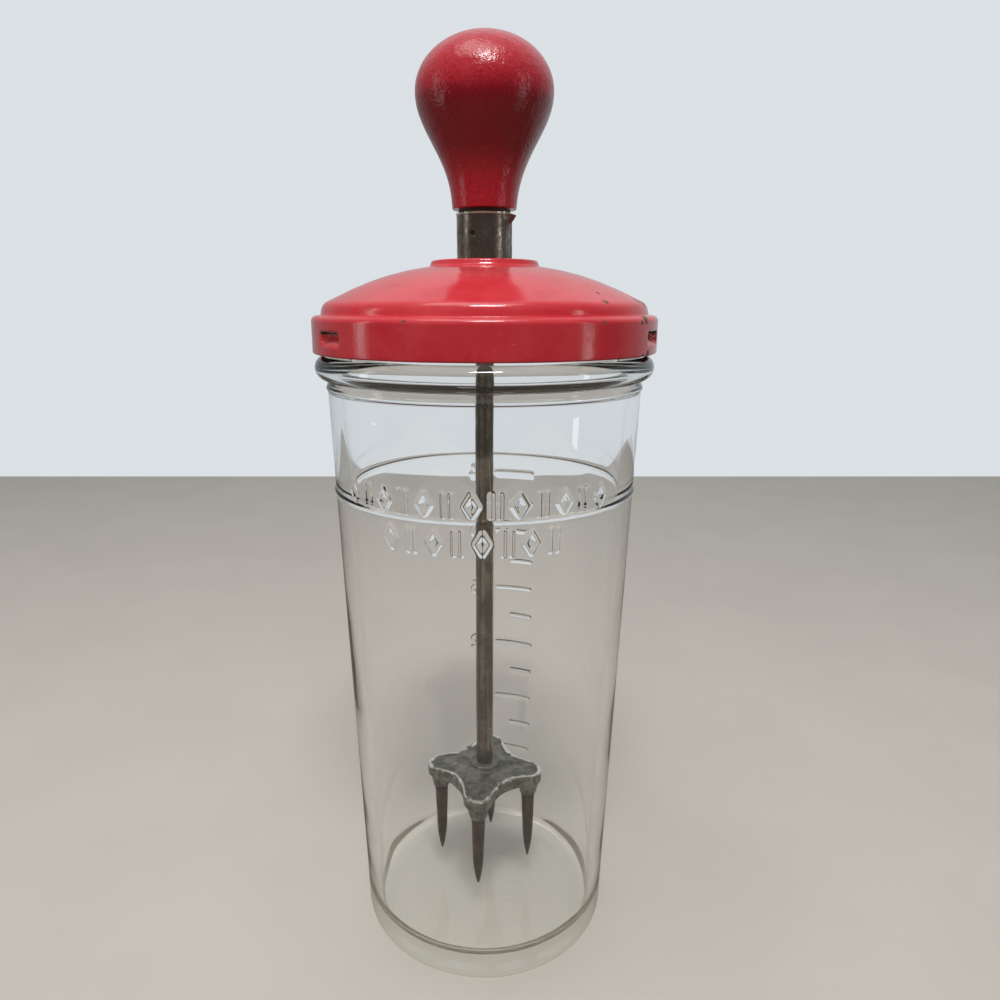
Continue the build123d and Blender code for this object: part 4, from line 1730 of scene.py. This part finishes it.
@dataclass
class Prongs:
    """Four forged prongs, pointed like nails, set in the head's bosses."""

    names: tuple[str, ...] = ("right", "back", "left", "front")
    first_angle: float = math.radians(-8.0)
    circle: float = 15.0 * MM
    root: float = 2.3 * MM
    waist: float = 1.8 * MM
    waist_rise: float = 11.0 * MM
    tip: float = 0.3 * MM
    tip_pull: Point = (0.75 * MM, 3.2 * MM)
    waist_pull: Point = (0.1 * MM, 4.5 * MM)
    root_edge: float = 0.3 * MM
    shank: float = 1.5 * MM
    shank_length: float = 4.6 * MM
    flat_size: float = 3 * MM
    flat_depth: float = 0.05
    steps_round: int = 36
    finish: WornMetal = PRONG_STEEL

    def build(self) -> list[bpy.types.Object]:
        """Turns one prong and copies it round."""
        low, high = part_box("prong_right")
        foot = high.z - self.shank_length
        axis_at = (self.circle * math.cos(self.first_angle), self.circle * math.sin(self.first_angle))
        waist_height = low.z + self.waist_rise
        point = curve(
            (self.tip, low.z),
            (self.tip + self.tip_pull[0], low.z + self.tip_pull[1]),
            (self.waist - self.waist_pull[0], waist_height - self.waist_pull[1]),
            (self.waist, waist_height),
            14,
        )
        outline = joined(
            [(0, low.z)],
            point,
            straight((self.waist, waist_height), (self.root, foot - self.root_edge), 12),
            [(self.root - self.root_edge, foot), (self.shank, foot)],
            [(self.shank, high.z), (0, high.z)],
        )
        first = turned("prong_right_forging", outline, self.steps_round, axis_at)

        def forged(places: np.ndarray) -> np.ndarray:
            """Leaves slight hammer flats."""
            free = np.clip((foot - places[:, 2]) / self.flat_size, 0, 1)
            sway = unevenness(places, self.flat_size, seed=6.6) * free * 0.5 + 0.5
            moved = places.copy()
            moved[:, :2] -= (places[:, :2] - axis_at) * (self.flat_depth * sway)[:, None]
            return moved

        reshape(first, forged)
        first.data.materials.append(self.finish.make())
        prongs = copies_round(first, [f"prong_{name}_forging" for name in self.names])
        for prong, name in zip(prongs, self.names):
            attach(prong, "plunger")
            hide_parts(f"prong_{name}")
        return prongs


# CAD pieces that keep their shape


@dataclass
class SmallFittings:
    """The gasket, and the cup, bushing, seal and pin, which stay as constructed."""

    finishes: dict[str, WornMetal | Rubber] = field(
        default_factory=lambda: {
            "lid_gasket": GASKET_RUBBER,
            "seal_cup": CUP_STEEL,
            "guide_bushing": BUSHING_STEEL,
            "rod_seal": SEAL_RUBBER,
            "ferrule_pin": PIN_STEEL,
        }
    )

    def dress(self) -> list[bpy.types.Object]:
        """Gives each fitting its finish."""
        dressed = []
        for name, finish in self.finishes.items():
            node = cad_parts[name]
            node.data.materials.clear()
            node.data.materials.append(finish.make())
            dressed.append(node)
        return dressed


# The studio


@dataclass(frozen=True)
class Softbox:
    """An oblong lamp that points at the jar's middle."""

    name: str
    place: tuple[float, float, float]
    width: float
    height: float
    power: float
    colour: Colour = (1.0, 1.0, 1.0)


@dataclass
class Studio:
    """Pale table, soft lamps, a pale room and the camera."""

    table_size: float = 1.32
    table_colour: Colour = (0.56, 0.51, 0.45)
    table_in_pieces: Colour = (0.20, 0.16, 0.12)
    table_grain: float = 60 * MM
    room_colour: Colour = (0.91, 0.96, 1.0)
    wall_strength: float = 0.78
    through_glass: tuple[float, float] = (0.20, 0.70)
    onto_pieces: tuple[float, float, float] = (0.06, 0.55, 0.30)
    camera_place: tuple[float, float, float] = (0.0, -0.225, 0.2025)
    camera_pitch: float = 14.7
    lens: float = 26.82
    sensor_width: float = 36.0
    sideways_shift: float = 0.0155
    aim: tuple[float, float, float] = (0.0, 0.0, 0.16)
    softboxes: tuple[Softbox, ...] = (
        Softbox("overhead", (-0.08, -0.16, 0.98), 0.60, 0.44, 2.4),
        Softbox("skylight", (0.02, -0.38, 0.88), 0.22, 0.12, 3.0),
        Softbox("front_window", (-0.45, -0.80, 0.50), 0.50, 0.50, 1.9, (0.97, 0.98, 1.0)),
        Softbox("right_strip", (0.75, -0.34, 0.25), 0.07, 0.60, 0.5),
        Softbox("left_strip", (-0.80, -0.12, 0.30), 0.10, 0.60, 0.5),
    )

    def table(self) -> None:
        """Lays the table that the jar stands on."""
        add = bpy.ops.mesh.primitive_plane_add
        table = added(add, "table", size=self.table_size, location=(0, 0, 0))
        recipe = Recipe("pale_table")
        grain = recipe.cloud(self.table_grain, detail=3.0)
        darker = tuple(0.97 * channel for channel in self.table_colour)
        colour = recipe.blend(grain.between(0.35, 0.65), self.table_colour, darker)
        refracted = recipe.seen_by("Transmission") * recipe.never("Diffuse")
        shown = recipe.seen_by("Camera").most(refracted)
        colour = recipe.blend(shown, self.table_in_pieces, colour)
        coat = recipe.coat(Base_Color=colour, Roughness=0.6, Specular_IOR_Level=0.3)
        table.data.materials.append(coat)

    def room(self) -> None:
        """Makes the room: pale behind the jar, darker in front of it."""
        recipe = Recipe("room", is_world=True)
        behind = recipe.axis("Y").between(-0.2, 0.75)
        right = recipe.axis("X").between(-0.9, 0.4)
        above = recipe.axis("Z").between(0.25, 0.75)
        front, back = self.through_glass
        least, from_back, from_above = self.onto_pieces
        refracted = recipe.seen_by("Transmission") * recipe.never("Diffuse")
        seen = recipe.seen_by("Camera")
        straight_on = recipe.never("Glossy")
        mirrored = front + behind * (back - front)
        glass_strength = straight_on * self.wall_strength + (1 - straight_on) * mirrored
        piece_strength = least + behind * (0.45 + right * 0.55) * from_back + above * from_above
        strength = refracted * glass_strength + (1 - refracted) * piece_strength
        strength = seen * self.wall_strength + (1 - seen) * strength
        inputs = {"Color": (*self.room_colour, 1), "Strength": strength}
        bpy.context.scene.world = recipe.finish(recipe.node("ShaderNodeBackground", None, inputs))

    def lamps(self) -> None:
        """Hangs the soft lamps. Glass shows the overhead one, and gloss all but the window's."""
        for box in self.softboxes:
            lamp = added(bpy.ops.object.light_add, box.name, type="AREA", location=box.place)
            lamp.data.shape = "RECTANGLE"
            lamp.data.size = box.width
            lamp.data.size_y = box.height
            lamp.data.energy = box.power
            lamp.data.color = box.colour
            towards = Vector(self.aim) - Vector(box.place)
            lamp.rotation_euler = towards.to_track_quat("-Z", "Y").to_euler()
            lamp.visible_camera = False
            lamp.visible_transmission = box.name == "overhead"
            lamp.visible_glossy = box.name != "front_window"

    def camera(self) -> None:
        """Places the camera where the photograph was taken from."""
        turn = (math.radians(90 - self.camera_pitch), 0, 0)
        add = bpy.ops.object.camera_add
        camera = added(add, "camera", location=self.camera_place, rotation=turn)
        camera.data.lens = self.lens
        camera.data.sensor_width = self.sensor_width
        camera.data.shift_x = self.sideways_shift
        bpy.context.scene.camera = camera

    def build(self) -> None:
        """Sets the studio up."""
        self.camera()
        self.table()
        self.room()
        self.lamps()
        bpy.context.scene.view_settings.view_transform = "Standard"


def main() -> None:
    """Builds the mixer jar and its studio, and reports each piece."""
    logging.basicConfig(level=logging.INFO, format="%(name)s: %(message)s")
    Studio().build()
    for assembly in (Jar(), Lid(), Knob(), Ferrule(), Rod(), AgitatorHead(), Prongs()):
        for piece in assembly.build():
            log.info("%s: %d faces", piece.name, len(piece.data.polygons))
    for node in SmallFittings().dress():
        log.info("%s: dressed", node.name)


if __name__ == "__main__":
    main()
